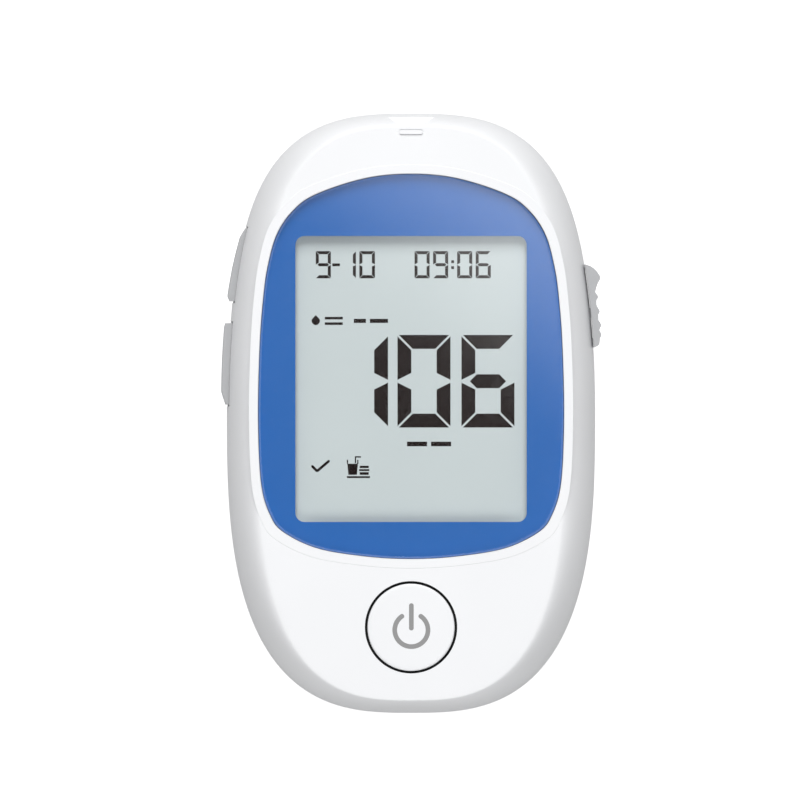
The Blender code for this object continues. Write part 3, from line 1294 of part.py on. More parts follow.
def cell_spring_solid(side, toward):
    """The wound spring that presses on a cell's negative end, widest at its plate."""
    length = BAY_LENGTH - contact_clearance() * 2 - CELL_LENGTH - FIT
    radii = (CELL_SPRING_TIP_RADIUS, CELL_SPRING_BASE_RADIUS)
    wire = laid_along_y(coil(radii, CELL_SPRING_WIRE, length, CELL_SPRING_TURNS))
    if toward > 0:
        bmesh.ops.rotate(wire, verts=wire.verts, matrix=Matrix.Rotation(math.pi, 3, "Z"))
    start = cell_base_y(toward) - FIT * toward
    return moved(wire, side * CELL_SPACING / 2, start, CELL_HEIGHT)


def contact_plate(name, centre, half_width, has_tail, materials):
    """A plate on a bay end wall: the bridge at the top end, the tailed ones at the bottom."""
    if has_tail:
        along = (BAY_BOTTOM_Y + FIT, BAY_BOTTOM_Y + FIT + PLATE_THICKNESS)
    else:
        along = (BAY_TOP_Y - FIT - PLATE_THICKNESS, BAY_TOP_Y - FIT)
    plate = box((centre - half_width, centre + half_width), along, (PLATE_LOW, PLATE_HIGH))
    made = make_object(name, plate, materials["steel"])
    if has_tail:
        across = (centre - TAIL_HALF_WIDTH, centre + TAIL_HALF_WIDTH)
        tail = box(across, along, (PLATE_HIGH - OVERRUN, COMPONENT_TOP))
        combine(made, f"{name}_tail", tail, "UNION")


def make_batteries(materials):
    half = CELL_SPACING / 2
    make_object("battery_1", cell_solid(-1, 1), materials["label"])
    make_object("battery_2", cell_solid(1, -1), materials["label"])
    make_object("battery_spring_1", cell_spring_solid(-1, 1), materials["steel"])
    make_object("battery_spring_2", cell_spring_solid(1, -1), materials["steel"])
    bridge_half = half + PLATE_HALF_WIDTH
    contact_plate("battery_bridge", 0, bridge_half, False, materials)
    contact_plate("battery_negative_contact", -half, PLATE_HALF_WIDTH, True, materials)
    contact_plate("battery_positive_contact", half, PLATE_HALF_WIDTH, True, materials)


def main():
    clear_scene()
    materials = make_materials()
    make_front_cover(materials)
    make_rear_cover(materials)
    make_battery_door(materials)
    make_window(materials)
    make_display(materials)
    make_board(materials)
    make_components(materials)
    make_screws(materials)
    make_power_button(materials)
    upper, lower = side_button_spans()
    make_side_button("upper", upper, UPPER_BUTTON_PROUD, UPPER_BUTTON_SHARES, materials)
    make_side_button("lower", lower, LOWER_BUTTON_PROUD, LOWER_BUTTON_SHARES, materials)
    make_ejector_slider(materials)
    make_ejector_pusher(materials)
    make_strip_port(materials)
    make_batteries(materials)


main()
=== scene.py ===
# %% [markdown]
# # A handheld blood-test meter, dressed for a photograph
#
# The CAD frame gives every piece of the meter in its place, but with coarse facets and plain
# colours. This lesson builds fine outer pieces over it, gives every piece a real finish, draws
# the reading on the display and lights the meter as in a product photograph.
#
# The meter lies on its back: X runs across it, Y runs along it with the test-strip port at the
# +Y end, and Z points up through the window.

import math

import bmesh
import bpy
import numpy as np
from mathutils import Matrix, Vector


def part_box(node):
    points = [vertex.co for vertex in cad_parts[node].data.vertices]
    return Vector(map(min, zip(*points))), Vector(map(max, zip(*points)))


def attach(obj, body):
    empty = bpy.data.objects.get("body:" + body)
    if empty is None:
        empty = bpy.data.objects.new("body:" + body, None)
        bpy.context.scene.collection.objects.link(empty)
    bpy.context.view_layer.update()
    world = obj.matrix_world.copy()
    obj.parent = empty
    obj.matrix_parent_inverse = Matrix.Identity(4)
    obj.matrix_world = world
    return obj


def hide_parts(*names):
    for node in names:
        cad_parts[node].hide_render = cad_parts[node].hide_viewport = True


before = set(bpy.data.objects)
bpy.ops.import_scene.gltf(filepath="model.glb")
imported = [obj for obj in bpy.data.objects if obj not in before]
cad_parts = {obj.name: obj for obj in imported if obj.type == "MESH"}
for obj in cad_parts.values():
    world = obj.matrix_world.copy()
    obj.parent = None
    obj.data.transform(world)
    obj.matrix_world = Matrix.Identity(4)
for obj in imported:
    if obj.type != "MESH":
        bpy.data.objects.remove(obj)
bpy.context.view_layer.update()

# %% [markdown]
# ## Sizes
#
# Sizes come from the frame where it has them, so that the fine pieces sit where the CAD ones
# do. The rest are the meter's own small sizes, in metres, and the fineness of the curves.

# %% Take the main sizes from the frame
case_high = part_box("front_cover")[1]
lens_low, lens_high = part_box("window_lens")
mask_low, mask_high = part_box("window_mask")
glass_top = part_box("lcd_glass")[1].z
button_low, button_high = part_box("power_button")
door_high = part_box("battery_door")[1]

half_width = case_high.x
half_length = case_high.y
case_top = case_high.z
power_y = (button_low.y + button_high.y) / 2
halves = [round(value * 1000, 2) for value in (half_width, half_length)]
print("case half width and length in mm:", halves)

# %% Name the sizes that the frame's boxes don't give
PARTING_HEIGHT = 0.0105
SEAM = 0.0003
FIT = 0.0003
OVERRUN = 0.0010
WALL = 0.0016
FRONT_ROLL = 0.0050
BACK_ROLL = 0.0060
LIP_THICKNESS = 0.0006
LIP_HEIGHT = 0.0010
LENS_GAP = 0.0001
LENS_BEVEL = 0.0003
RIM_CHAMFER = 0.00008
INK = 0.00002
CASE_POINTS = 240
LENS_POINTS = 240
FINE_POINTS = 7200
ROLL_STEPS = 24
seam_top = PARTING_HEIGHT + SEAM / 2
seam_bottom = PARTING_HEIGHT - SEAM / 2
ceiling = case_top - WALL

# %% [markdown]
# ## Outlines
#
# Seen from above, the case is an egg: a superellipse, which is an ellipse with fuller
# corners, whose upper half is a little squarer than its lower half. One formula gives it, and
# points at equal steps along it keep the facets even. Between the middle and the strip end the
# sides draw in by up to 0.4 mm, which a squared sine gives. The window is less regular, so a
# smooth curve is drawn through a few chosen points of its right half and mirrored.

# %% The case's outline
UPPER_POWER = 2.96
LOWER_POWER = 2.88
WAIST = 0.015


def evenly(points, count):
    """Takes count places at equal steps along a closed run of points."""
    path = np.vstack((points, points[:1]))
    travelled = np.concatenate(([0.0], np.cumsum(np.linalg.norm(np.diff(path, axis=0), axis=1))))
    stations = np.linspace(0.0, travelled[-1], count, endpoint=False)
    return np.column_stack([np.interp(stations, travelled, path[:, axis]) for axis in (0, 1)])


def waist(along):
    """How the sides draw in a little over the upper half, by nothing at its two ends."""
    return 1 - WAIST * np.sin(math.pi * np.clip(along / half_length, 0, 1)) ** 2


def case_outline(inset=0.0, end_share=1.0):
    """The case seen from above, moved inward by an inset, of which the ends take a share."""
    turn = np.linspace(0, 2 * math.pi, FINE_POINTS, endpoint=False)
    across, along = np.cos(turn), np.sin(turn)
    share = 2 / np.where(along >= 0, UPPER_POWER, LOWER_POWER)
    x = (half_width - inset) * np.sign(across) * np.abs(across) ** share
    y = (half_length - inset * end_share) * np.sign(along) * np.abs(along) ** share
    return evenly(np.column_stack((x * waist(y), y)), CASE_POINTS)


def side_at(y, inset=0.0):
    """Half width of the case at a place along its length, less an inset."""
    power = UPPER_POWER if y >= 0 else LOWER_POWER
    reach = (half_width - inset) * (1 - abs(y / (half_length - inset)) ** power) ** (1 / power)
    return float(reach * waist(y))


print("case outline:", len(case_outline()), "points")

# %% The window's outline
LENS_WIDEST_RISE = 0.02264
LENS_SHARES = (
    (0.0, 1.0), (0.30, 0.982), (0.618, 0.918), (0.770, 0.852), (0.878, 0.754),
    (0.9375, 0.623), (0.967, 0.492), (0.990, 0.295), (1.0, 0.0), (0.980, -0.462),
    (0.918, -0.693), (0.832, -0.809), (0.612, -0.924), (0.296, -0.982), (0.0, -1.0),
)
SPLINE_STEPS = 40
lens_widest_y = lens_low.y + LENS_WIDEST_RISE


def smooth_through(points, count):
    """A closed curve through the points, as count places at equal steps along it."""
    ring = np.array(points)
    before, start, end, after = (np.roll(ring, shift, axis=0) for shift in (1, 0, -1, -2))
    t = np.linspace(0, 1, SPLINE_STEPS, endpoint=False)[:, None, None]
    bend = 2 * start + (end - before) * t
    bend = bend + (2 * before - 5 * start + 4 * end - after) * t**2
    bend = bend + (3 * start - before - 3 * end + after) * t**3
    return evenly((bend / 2).transpose(1, 0, 2).reshape(-1, 2), count)


def lens_outline(inset=0.0):
    """The window seen from above, moved inward by an inset."""
    right = []
    for across, along in LENS_SHARES:
        reach = lens_high.y - lens_widest_y if along > 0 else LENS_WIDEST_RISE
        right.append(((lens_high.x - inset) * across, lens_widest_y + (reach - inset) * along))
    left = [(-x, y) for x, y in right[-2:0:-1]]
    return smooth_through(right + left, LENS_POINTS)


print("window outline:", len(lens_outline()), "points")

# %% [markdown]
# ## Tools for making pieces
#
# Each piece starts as a bmesh. `skin` bends a filled circle onto an outline and extrudes it
# from one outline to the next, which gives one closed body whatever the outlines do. `carve`
# runs a Boolean and keeps its result as the piece's mesh, so no helper object is left behind.

# %% Skins
def skin(sections):
    """A solid drawn through (outline, z) sections, one extrusion of its end face at a time."""
    mesh = bmesh.new()
    bmesh.ops.create_circle(mesh, cap_ends=True, segments=len(sections[0][0]), radius=1.0)
    mesh.faces.ensure_lookup_table()
    cap = mesh.faces[0]
    turns = {vert: index for index, vert in enumerate(cap.verts)}
    for level, (outline, z) in enumerate(sections):
        if level:
            made = bmesh.ops.extrude_face_region(mesh, geom=[cap])["geom"]
            if level > 1:
                bmesh.ops.delete(mesh, geom=[cap], context="FACES_ONLY")
            cap = next(item for item in made if isinstance(item, bmesh.types.BMFace))
            before, turns = turns, {}
            for vert in cap.verts:
                linked = (edge.other_vert(vert) for edge in vert.link_edges)
                turns[vert] = before[next(other for other in linked if other in before)]
        for vert, index in turns.items():
            vert.co = (*outline[index], z)
    bmesh.ops.recalc_face_normals(mesh, faces=mesh.faces)
    return mesh


def around(middle, half):
    """The range that reaches half a width to each side of a middle."""
    return middle - half, middle + half


def lens_slab(inset, z_range):
    """A slab with the window's outline, moved inward by an inset."""
    return skin([(lens_outline(inset), z) for z in z_range])


def block(x_range, y_range, z_range):
    """A box between two places on each axis, from Blender's unit cube."""
    mesh = bmesh.new()
    ranges = (x_range, y_range, z_range)
    size = [high - low for low, high in ranges]
    middle = [(high + low) / 2 for low, high in ranges]
    place = Matrix.Translation(middle) @ Matrix.Diagonal(size + [1.0])
    bmesh.ops.create_cube(mesh, size=1.0, matrix=place)
    return mesh


def turned(profile, sides, centre=(0.0, 0.0)):
    """Spins a (radius, z) profile round an upright line and closes its poles."""
    mesh = bmesh.new()
    verts = [mesh.verts.new((radius, 0, z)) for radius, z in profile]
    edges = [mesh.edges.new(pair) for pair in zip(verts, verts[1:])]
    bmesh.ops.spin(
        mesh,
        geom=verts + edges,
        axis=(0, 0, 1),
        cent=(0, 0, 0),
        angle=2 * math.pi,
        steps=sides,
        use_merge=True,
    )
    bmesh.ops.remove_doubles(mesh, verts=mesh.verts, dist=1e-7)
    bmesh.ops.holes_fill(mesh, edges=mesh.edges, sides=sides)
    bmesh.ops.recalc_face_normals(mesh, faces=mesh.faces)
    bmesh.ops.translate(mesh, verts=mesh.verts, vec=(*centre, 0))
    return mesh


# %% Rounded edges
NEARLY_ROUND = 0.98


def drop_of(edge):
    """How much higher one end of an edge is than the other."""
    return abs(edge.verts[0].co.z - edge.verts[1].co.z)


def upright_edges(mesh):
    """The edges of a bmesh that stand up."""
    return [edge for edge in mesh.edges if drop_of(edge) > edge.calc_length() / 2]


def round_edges(mesh, edges, radius, segments):
    """Rounds edges of a bmesh with Blender's bevel."""
    bmesh.ops.bevel(
        mesh, geom=edges, offset=radius, segments=segments, affect="EDGES", profile=0.5, material=-1
    )


# %% Objects and Booleans
SHARP_ANGLE = math.radians(32)
pieces_made = {}


def shaded(mesh):
    """Smooth shading, with creases where faces meet at more than the sharp angle."""
    mesh.shade_smooth()
    mesh.set_sharp_from_angle(angle=SHARP_ANGLE)
    return mesh


def piece_from(name, mesh):
    """Turns a finished bmesh into an object that sits at the origin."""
    data = bpy.data.meshes.new(name)
    mesh.to_mesh(data)
    mesh.free()
    made = bpy.data.objects.new(name, shaded(data))
    bpy.context.scene.collection.objects.link(made)
    return made


def carve(piece, tool, how="DIFFERENCE"):
    """Cuts the tool from the piece, joins it on, or keeps only what both share."""
    cutter = piece_from("cutter", tool)
    modifier = piece.modifiers.new("carve", "BOOLEAN")
    modifier.operation = how
    modifier.object = cutter
    evaluated = piece.evaluated_get(bpy.context.evaluated_depsgraph_get())
    carved = bpy.data.meshes.new_from_object(evaluated)
    piece.modifiers.clear()
    piece.data, plain = carved, piece.data
    bpy.data.meshes.remove(plain)
    bpy.data.objects.remove(cutter)
    return piece


def mesh_of(piece):
    """A bmesh of a piece, whose object is then removed."""
    mesh = bmesh.new()
    mesh.from_mesh(piece.data)
    bpy.data.objects.remove(piece)
    return mesh


def place(piece, body, slot, material, replaced=()):
    """Gives a piece its finish, the body it moves with and the CAD nodes it stands for."""
    shaded(piece.data)
    piece.data.name = piece.name
    piece.data.materials.clear()
    piece.data.materials.append(material)
    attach(piece, body)
    if replaced:
        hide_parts(*replaced)
    pieces_made[piece.name] = len(piece.data.polygons)
    print(piece.name, "has", len(piece.data.polygons), "faces")
    return piece


# %% [markdown]
# ## Colours and finishes
#
# Colours are written as the hex values seen in the photograph and turned to linear light by
# one function. `add` is the one helper for shader nodes: it makes a node, sets its plain
# values and links what is named.

# %% Colour and node helpers
def linear(code):
    """Turns an sRGB hex colour into the linear values that shaders use."""
    channels = [int(code[start : start + 2], 16) / 255 for start in (1, 3, 5)]
    return [c / 12.92 if c <= 0.04045 else ((c + 0.055) / 1.055) ** 2.4 for c in channels] + [1.0]


def add(tree, kind, values=None, links=None, **settings):
    """Adds a node with its settings, its plain input values and its links."""
    made = tree.nodes.new(kind)
    for name, value in settings.items():
        setattr(made, name, value)
    for name, value in (values or {}).items():
        made.inputs[name].default_value = value
    for name, source in (links or {}).items():
        tree.links.new(source, made.inputs[name])
    return made


def new_material(name, base, **values):
    """A material with one Principled shader, and its node tree, shader and coordinates."""
    material = bpy.data.materials.new(name)
    material.use_nodes = True
    material.diffuse_color = linear(base)
    tree = material.node_tree
    shader = tree.nodes["Principled BSDF"]
    shader.inputs["Base Color"].default_value = linear(base)
    for name_of, value in values.items():
        shader.inputs[name_of.replace("_", " ")].default_value = value
    coords = add(tree, "ShaderNodeTexCoord").outputs["Object"]
    return material, tree, shader, coords


# %% [markdown]
# ## Moulded plastics
#
# ABS from a steel mould copies the mould's finish: the outer case is nearly polished, the keys
# have a fine spark-eroded grain. The colour drifts a little over centimetres, as flow in the
# mould makes it, and the grain is bump, because it is far too shallow to be geometry.

# %% Plastics
PER_METRE = 1000.0
DRIFT_MM = 14.0


def moulded(name, base, flow, grain_mm, grain_depth, **values):
    """A moulded plastic whose colour drifts towards a second one, with a fine grain."""
    material, tree, shader, coords = new_material(name, base, **values)
    drift_values = {"Scale": PER_METRE / DRIFT_MM, "Detail": 1.0}
    drift = add(tree, "ShaderNodeTexNoise", drift_values, {"Vector": coords})
    colours = {6: linear(base), 7: linear(flow)}
    tint = add(tree, "ShaderNodeMix", colours, {0: drift.outputs["Fac"]}, data_type="RGBA")
    grain_values = {"Scale": PER_METRE / grain_mm, "Detail": 2.0}
    grain = add(tree, "ShaderNodeTexNoise", grain_values, {"Vector": coords})
    depth = {"Strength": 1.0, "Distance": grain_depth / PER_METRE}
    relief = add(tree, "ShaderNodeBump", depth, {"Height": grain.outputs["Fac"]})
    tree.links.new(tint.outputs[2], shader.inputs["Base Color"])
    tree.links.new(relief.outputs["Normal"], shader.inputs["Normal"])
    return material


# Polished white ABS: a soft, even sheen and a barely warm white
white_abs = moulded(
    "white_polished_abs", "#EDEEF0", "#F1F2F4", 0.9, 0.0006, Roughness=0.30, IOR=1.52
)
# Grey ABS with a spark-eroded grain: matt enough to lose its highlights
grey_abs = moulded("grey_grained_abs", "#A6A7A9", "#ADAEB0", 0.45, 0.006, Roughness=0.46, IOR=1.52)
# Black PBT, the glass-filled plastic of switches and connectors: dull, with fibres near the skin
black_pbt = moulded(
    "black_glass_filled_pbt", "#1E1E20", "#28282A", 0.35, 0.008, Roughness=0.52, IOR=1.55
)
# Natural polycarbonate: milky, slightly shiny
natural_pc = moulded(
    "natural_moulded_polycarbonate", "#E1E2DE", "#D9DAD4", 0.8, 0.002, Roughness=0.42, IOR=1.58
)
# Diffuser sheet: matt white acrylic that spreads the backlight
diffuser = moulded(
    "white_diffuser_sheet", "#EBEEF0", "#E4E8EA", 0.4, 0.004, Roughness=0.60, IOR=1.49
)
# Silicone with carbon-filled layers: matt, dark grey
zebra_rubber = moulded(
    "layered_silicone_rubber", "#3A3C40", "#46484C", 0.5, 0.010, Roughness=0.80, IOR=1.43
)
# Black silicone, dull and black as painted shade: it stands in for the shadow in the gap round the
# button, which reads as one dark ring
gap_shade_rubber = moulded(
    "black_silicone_skirt", "#141416", "#18181A", 0.5, 0.002, Roughness=0.60, IOR=1.43
)
# Polyethylene foam: open cells at its cut face, so it has no shine
foam_tape = moulded("black_foam_tape", "#1C1C1E", "#242426", 0.6, 0.040, Roughness=0.90, IOR=1.50)
print("plastics:", len(bpy.data.materials))

# %% [markdown]
# ## Metals
#
# Nickel plating over stamped steel and gold flash over bronze springs are smooth, with the
# fine lines of rolling left under the plating. Noise stretched along one axis gives those
# lines: it moves the roughness a little, and the metal keeps Blender's default IOR.

# %% Metals
ROLLING_MM = (6.0, 0.25, 0.25)


def plated(name, base, smoothest, dullest):
    """A plated metal with faint rolling lines along X."""
    material, tree, shader, coords = new_material(name, base, Metallic=1.0)
    scale = {"Scale": [PER_METRE / length for length in ROLLING_MM]}
    stretch = add(tree, "ShaderNodeMapping", scale, {"Vector": coords})
    along = {"Vector": stretch.outputs["Vector"]}
    lines = add(tree, "ShaderNodeTexNoise", {"Scale": 1.0, "Detail": 3.0}, along)
    ends = {"To Min": smoothest, "To Max": dullest}
    spread = add(tree, "ShaderNodeMapRange", ends, {"Value": lines.outputs["Fac"]})
    tree.links.new(spread.outputs["Result"], shader.inputs["Roughness"])
    return material


# Nickel over stamped steel: contacts, springs and screws with a soft grey shine
nickel = plated("nickel_plated_steel", "#C6C5C0", 0.20, 0.38)
# Gold flash over bronze: the strip's spring contacts, warm and bright
gold = plated("gold_flashed_bronze", "#D4AF69", 0.18, 0.32)
print("metals:", nickel.name, gold.name)

# %% [markdown]
# ## Window, print and display
#
# The window is a clear acrylic plate with a blue print behind it. Cycles treats the acrylic as
# glass, which keeps a lamp's straight light from what lies under it, so the plate lets shadow
# rays pass. Diffuse rays pass too, or the same light would be counted twice. The print is ink
# on a glossy film. The display is a reflective liquid crystal.

# %% Window and print
# Cast acrylic, flame-polished: clear, with a sharp reflection
clear_acrylic, tree, shader, coords = new_material(
    "clear_cast_acrylic", "#FFFFFF", Roughness=0.02, IOR=1.49, Transmission_Weight=1.0
)
rays = add(tree, "ShaderNodeLightPath")
kinds = {0: rays.outputs["Is Shadow Ray"], 1: rays.outputs["Is Diffuse Ray"]}
passing = add(tree, "ShaderNodeMath", None, kinds, operation="MAXIMUM")
open_way = add(tree, "ShaderNodeBsdfTransparent")
ways = {0: passing.outputs["Value"], 1: shader.outputs["BSDF"], 2: open_way.outputs["BSDF"]}
blend = add(tree, "ShaderNodeMixShader", None, ways)
tree.links.new(blend.outputs["Shader"], tree.nodes["Material Output"].inputs["Surface"])

# Screen-printed film: an even, strong blue whose gloss comes from the film's own face
blue_print = moulded(
    "blue_screen_printed_film", "#2A66B2", "#2D69B5", 0.5, 0.0002, Roughness=0.15, IOR=1.50
)
print("window:", clear_acrylic.name, blue_print.name)

# %% Display, ink and board
# Liquid-crystal glass over a reflector: pale grey with a blue-green hint, and glossy
display_glass = moulded(
    "reflective_liquid_crystal", "#C9D3D4", "#CDD7D8", 0.35, 0.0002, Roughness=0.12, IOR=1.52
)
# A switched-on part of the liquid crystal: nearly black, a little brown
crystal_black = moulded(
    "dark_liquid_crystal", "#1C1413", "#201817", 0.35, 0.0002, Roughness=0.12, IOR=1.52
)
# Black ink as painted shade: the thin dark line round the window stands in for the shadow in the
# gap round the plate
rim_shade_ink = moulded(
    "black_screen_printing_ink", "#17181B", "#1B1C20", 0.4, 0.0002, Roughness=0.30, IOR=1.50
)
# Pad-printed ink, mid grey: the mark on the round button
grey_ink = moulded(
    "grey_pad_printed_ink", "#8C8C8C", "#8F8F8F", 0.4, 0.001, Roughness=0.50, IOR=1.50
)
# Shrunk PVC sleeve, printed dark grey: the dry cells, a little shiny
cell_sleeve = moulded(
    "printed_cell_sleeve", "#4A4F57", "#565B63", 0.6, 0.001, Roughness=0.32, IOR=1.50
)

# Solder mask over copper: dark green with paler lines where the tracks run beneath it. Real
# tracks are about 0.2 mm apart, too fine to show, so these stand wider apart.
TRACE_PITCH_MM = 1.3
board_green, tree, shader, coords = new_material(
    "green_solder_mask_board", "#1C5C3A", Roughness=0.34, IOR=1.54
)
tracks = add(
    tree,
    "ShaderNodeTexBrick",
    {
        "Color1": linear("#1C5C3A"),
        "Color2": linear("#20663F"),
        "Mortar": linear("#2F8555"),
        "Scale": PER_METRE / TRACE_PITCH_MM,
        "Mortar Size": 0.09,
        "Brick Width": 6.0,
        "Row Height": 1.0,
    },
    {"Vector": coords},
)
tree.links.new(tracks.outputs["Color"], shader.inputs["Base Color"])
print("display and board:", display_glass.name, board_green.name)

# %% [markdown]
# ## Front cover
#
# The front cover is one moulding: upright at the parting line, rolling over into a flat face
# that carries the window. It could be lofted between a few sections, but a stack of rings
# gives full control of the roll. A power below 2 makes its curve leaner than an ellipse,
# nearer to a straight slope, and the two ends take under half of its width. A flat rim runs
# round the window. The wall is a second stack inside the first. The window's pocket, the
# button's hole, the key slots and the strip notch are then cut as a mould maker would place
# them.

# %% Rings of the roll
def roll(inset, low, high, width, steps=ROLL_STEPS, power=2.0):
    """(inset, z) places from an upright edge at low, round to a level face at high."""
    places = []
    for step in range(steps + 1):
        turn = math.pi / 2 * step / steps
        across, up = max(math.cos(turn), 0.0) ** (2 / power), math.sin(turn) ** (2 / power)
        places.append((inset + width * (1 - across), low + (high - low) * up))
    return places


def case_sections(places, end_share=1.0):
    """The case's outlines, with their heights, for skin()."""
    return [(case_outline(inset, end_share), z) for inset, z in places]


FACE_MARGIN = 0.0005
FRONT_ROLL_POWER = 1.5
END_SHARE = 0.45
BEZEL_STEP = 0.00006
BEZEL_WIDTH = 0.0015
relief_inset = WALL - LIP_THICKNESS - FIT
relief_top = PARTING_HEIGHT + LIP_HEIGHT + FIT
inside = roll(WALL, relief_top, ceiling, FRONT_ROLL - WALL / 2, ROLL_STEPS // 2)[::-1]
relief = [(relief_inset, relief_top), (relief_inset, seam_top)]
face_top = case_top - BEZEL_STEP
outside = roll(0, seam_top, face_top, FRONT_ROLL, power=FRONT_ROLL_POWER)
outside.append((FRONT_ROLL + FACE_MARGIN, face_top))
sections = case_sections(inside + relief) + case_sections(outside, END_SHARE)
front = piece_from("front_cover_shell", skin(sections))
print("front shell:", len(front.data.polygons), "faces")

# %% Window pocket and its ledge
LEDGE_SURROUND = 0.0012
LEDGE_THICKNESS = 0.0008
LEDGE_WIDTH = 0.0026
TAPE_ROOM = 0.0003
ledge_top = mask_low.z - TAPE_ROOM
ledge_bottom = ledge_top - LEDGE_THICKNESS
above = case_top + OVERRUN

carve(front, lens_slab(-LEDGE_SURROUND, (ledge_bottom, ceiling + WALL / 2)), "UNION")
bezel_edge = -LENS_GAP - BEZEL_WIDTH
bezel = [
    (lens_outline(bezel_edge), ceiling),
    (lens_outline(bezel_edge), case_top - BEZEL_STEP),
    (lens_outline(bezel_edge + BEZEL_STEP), case_top),
]
carve(front, skin(bezel), "UNION")
pocket = [
    (lens_outline(-LENS_GAP), ledge_top),
    (lens_outline(-LENS_GAP), case_top - RIM_CHAMFER),
    (lens_outline(-LENS_GAP - RIM_CHAMFER - OVERRUN), above),
]
carve(front, skin(pocket))
carve(front, lens_slab(LEDGE_WIDTH, (ledge_bottom - OVERRUN, above)))
print("window rim, pocket and ledge made, ledge at", round(ledge_top * 1000, 2), "mm")

# %% Button hole
POWER_GAP = 0.00042
CAP_RADIUS = 0.0071
HOLE_SIDES = 128
hole_radius = CAP_RADIUS + POWER_GAP
hole = [
    (hole_radius, ceiling - OVERRUN),
    (hole_radius, case_top - RIM_CHAMFER),
    (hole_radius + RIM_CHAMFER + OVERRUN, above),
]
carve(front, turned(hole, HOLE_SIDES, (0, power_y)))
print("button hole:", round(hole_radius * 2000, 2), "mm across")

# %% Slots for the side keys, the slider and the strip
SIDE_PROUD = 0.0010
NECK_TRAVEL = 0.0060
FLANGE_MARGIN = 0.0006
KEY_LOW = 0.0090
KEY_HIGH = 0.0130
key_spans = {}
for name in ("upper", "lower"):
    key_low, key_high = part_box(f"{name}_side_button")
    key_spans[name] = (key_low.y + FLANGE_MARGIN, key_high.y - FLANGE_MARGIN)
NECK_SPAN = (0.0126, 0.0172)
NECK_HEIGHTS = (0.0099, 0.0117)
STRIP_HALF_WIDTH = 0.0033
STRIP_HIGH = 0.0121
STRIP_START_Y = 0.0452


def side_slots():
    """Cutters for both key openings and the slider's slot, which both covers share."""
    slots = []
    for near, far in key_spans.values():
        reach = (-half_width - OVERRUN - SIDE_PROUD, OVERRUN + WALL - side_at(far, WALL))
        slots.append(block(reach, (near - FIT, far + FIT), (KEY_LOW - FIT, KEY_HIGH + FIT)))
    far = NECK_SPAN[1] + NECK_TRAVEL
    reach = (side_at(far, WALL) - OVERRUN, half_width + OVERRUN)
    heights = (NECK_HEIGHTS[0] - FIT, NECK_HEIGHTS[1] + FIT)
    slots.append(block(reach, (NECK_SPAN[0] - FIT, far + FIT), heights))
    return slots


for slot in side_slots():
    carve(front, slot)
strip_y = (STRIP_START_Y, half_length + OVERRUN)
carve(front, block(around(0, STRIP_HALF_WIDTH), strip_y, (seam_bottom, STRIP_HIGH)))
print("side slots cut:", len(front.data.polygons), "faces")

# %% Strip notch and its mark
NOTCH_DEPTH = 0.0019
NOTCH_HALF_WIDTH = 0.0049
NOTCH_TIP_HALF_WIDTH = 0.0020
SCOOP_LOW = 0.0165
SCOOP_HIGH = 0.0170
MARK_Y = 0.0458
MARK_RISE = 0.0002
MARK_HALF_WIDTH = 0.0019
MARK_HALF_DEPTH = 0.00036
MARK_END_STEPS = 8
GROOVE_WIDTH = 0.0001
GROOVE_DEPTH = 0.00018


def notch_cutter():
    """A wedge-sided block, wider towards the case's end, whose floor slopes down that way."""
    tip = half_length - NOTCH_DEPTH
    mesh = block((-1, 1), (tip, half_length + NOTCH_DEPTH), (0, above))
    widest = 2 * NOTCH_HALF_WIDTH - NOTCH_TIP_HALF_WIDTH
    for vert in mesh.verts:
        inner = vert.co.y < half_length
        vert.co.x *= NOTCH_TIP_HALF_WIDTH if inner else widest
        if vert.co.z < SCOOP_LOW:
            vert.co.z = SCOOP_HIGH if inner else 2 * SCOOP_LOW - SCOOP_HIGH
    return mesh


def pill(low, high, margin=0.0):
    """An upright block with its ends rounded to full half circles."""
    half_depth = MARK_HALF_DEPTH + margin
    mesh = block(around(0, MARK_HALF_WIDTH + margin), around(MARK_Y, half_depth), (low, high))
    round_edges(mesh, upright_edges(mesh), half_depth * NEARLY_ROUND, MARK_END_STEPS)
    return mesh


def raised_skin(rise):
    """The front's outer surface, raised or sunk by a small amount, as a solid."""
    return skin(case_sections([(inset - rise, z + rise) for inset, z in outside], END_SHARE))


carve(front, notch_cutter())
groove = piece_from("groove", pill(ceiling - WALL, above, GROOVE_WIDTH))
carve(groove, raised_skin(-GROOVE_DEPTH))
carve(front, mesh_of(groove))
mark = carve(piece_from("mark", raised_skin(MARK_RISE)), pill(ceiling - WALL, above), "INTERSECT")
carve(front, mesh_of(mark), "UNION")
place(front, "case", "white_abs", white_abs, ["front_cover"])

# %% [markdown]
# ## Rear cover
#
# The rear cover is the lower half of the shell: flat where it rests, rolled at its edge, with a
# thin lip that stands inside the front cover's rim. It carries the cell bay, the cavity for the
# door, the screw posts and the ledges that the door's hooks slide behind. All of it is built
# here again from the same stack of rings and from blocks, so that the seams stay crisp.

# %% Rear cover shell
lip_top = PARTING_HEIGHT + LIP_HEIGHT
lip_inset = WALL - LIP_THICKNESS


def back_roll(inset, steps=ROLL_STEPS):
    """The back's surface moved inward by an inset, from the parting line down."""
    return roll(inset, seam_bottom, inset, BACK_ROLL - inset / 2, steps)


lip = [(WALL, lip_top), (lip_inset, lip_top), (lip_inset, seam_bottom)]
rest_face = [(BACK_ROLL + FACE_MARGIN, 0)]
rear = piece_from(
    "rear_cover_shell",
    skin(case_sections(back_roll(WALL, ROLL_STEPS // 2)[::-1] + lip + back_roll(0) + rest_face)),
)
print("rear shell:", len(rear.data.polygons), "faces")

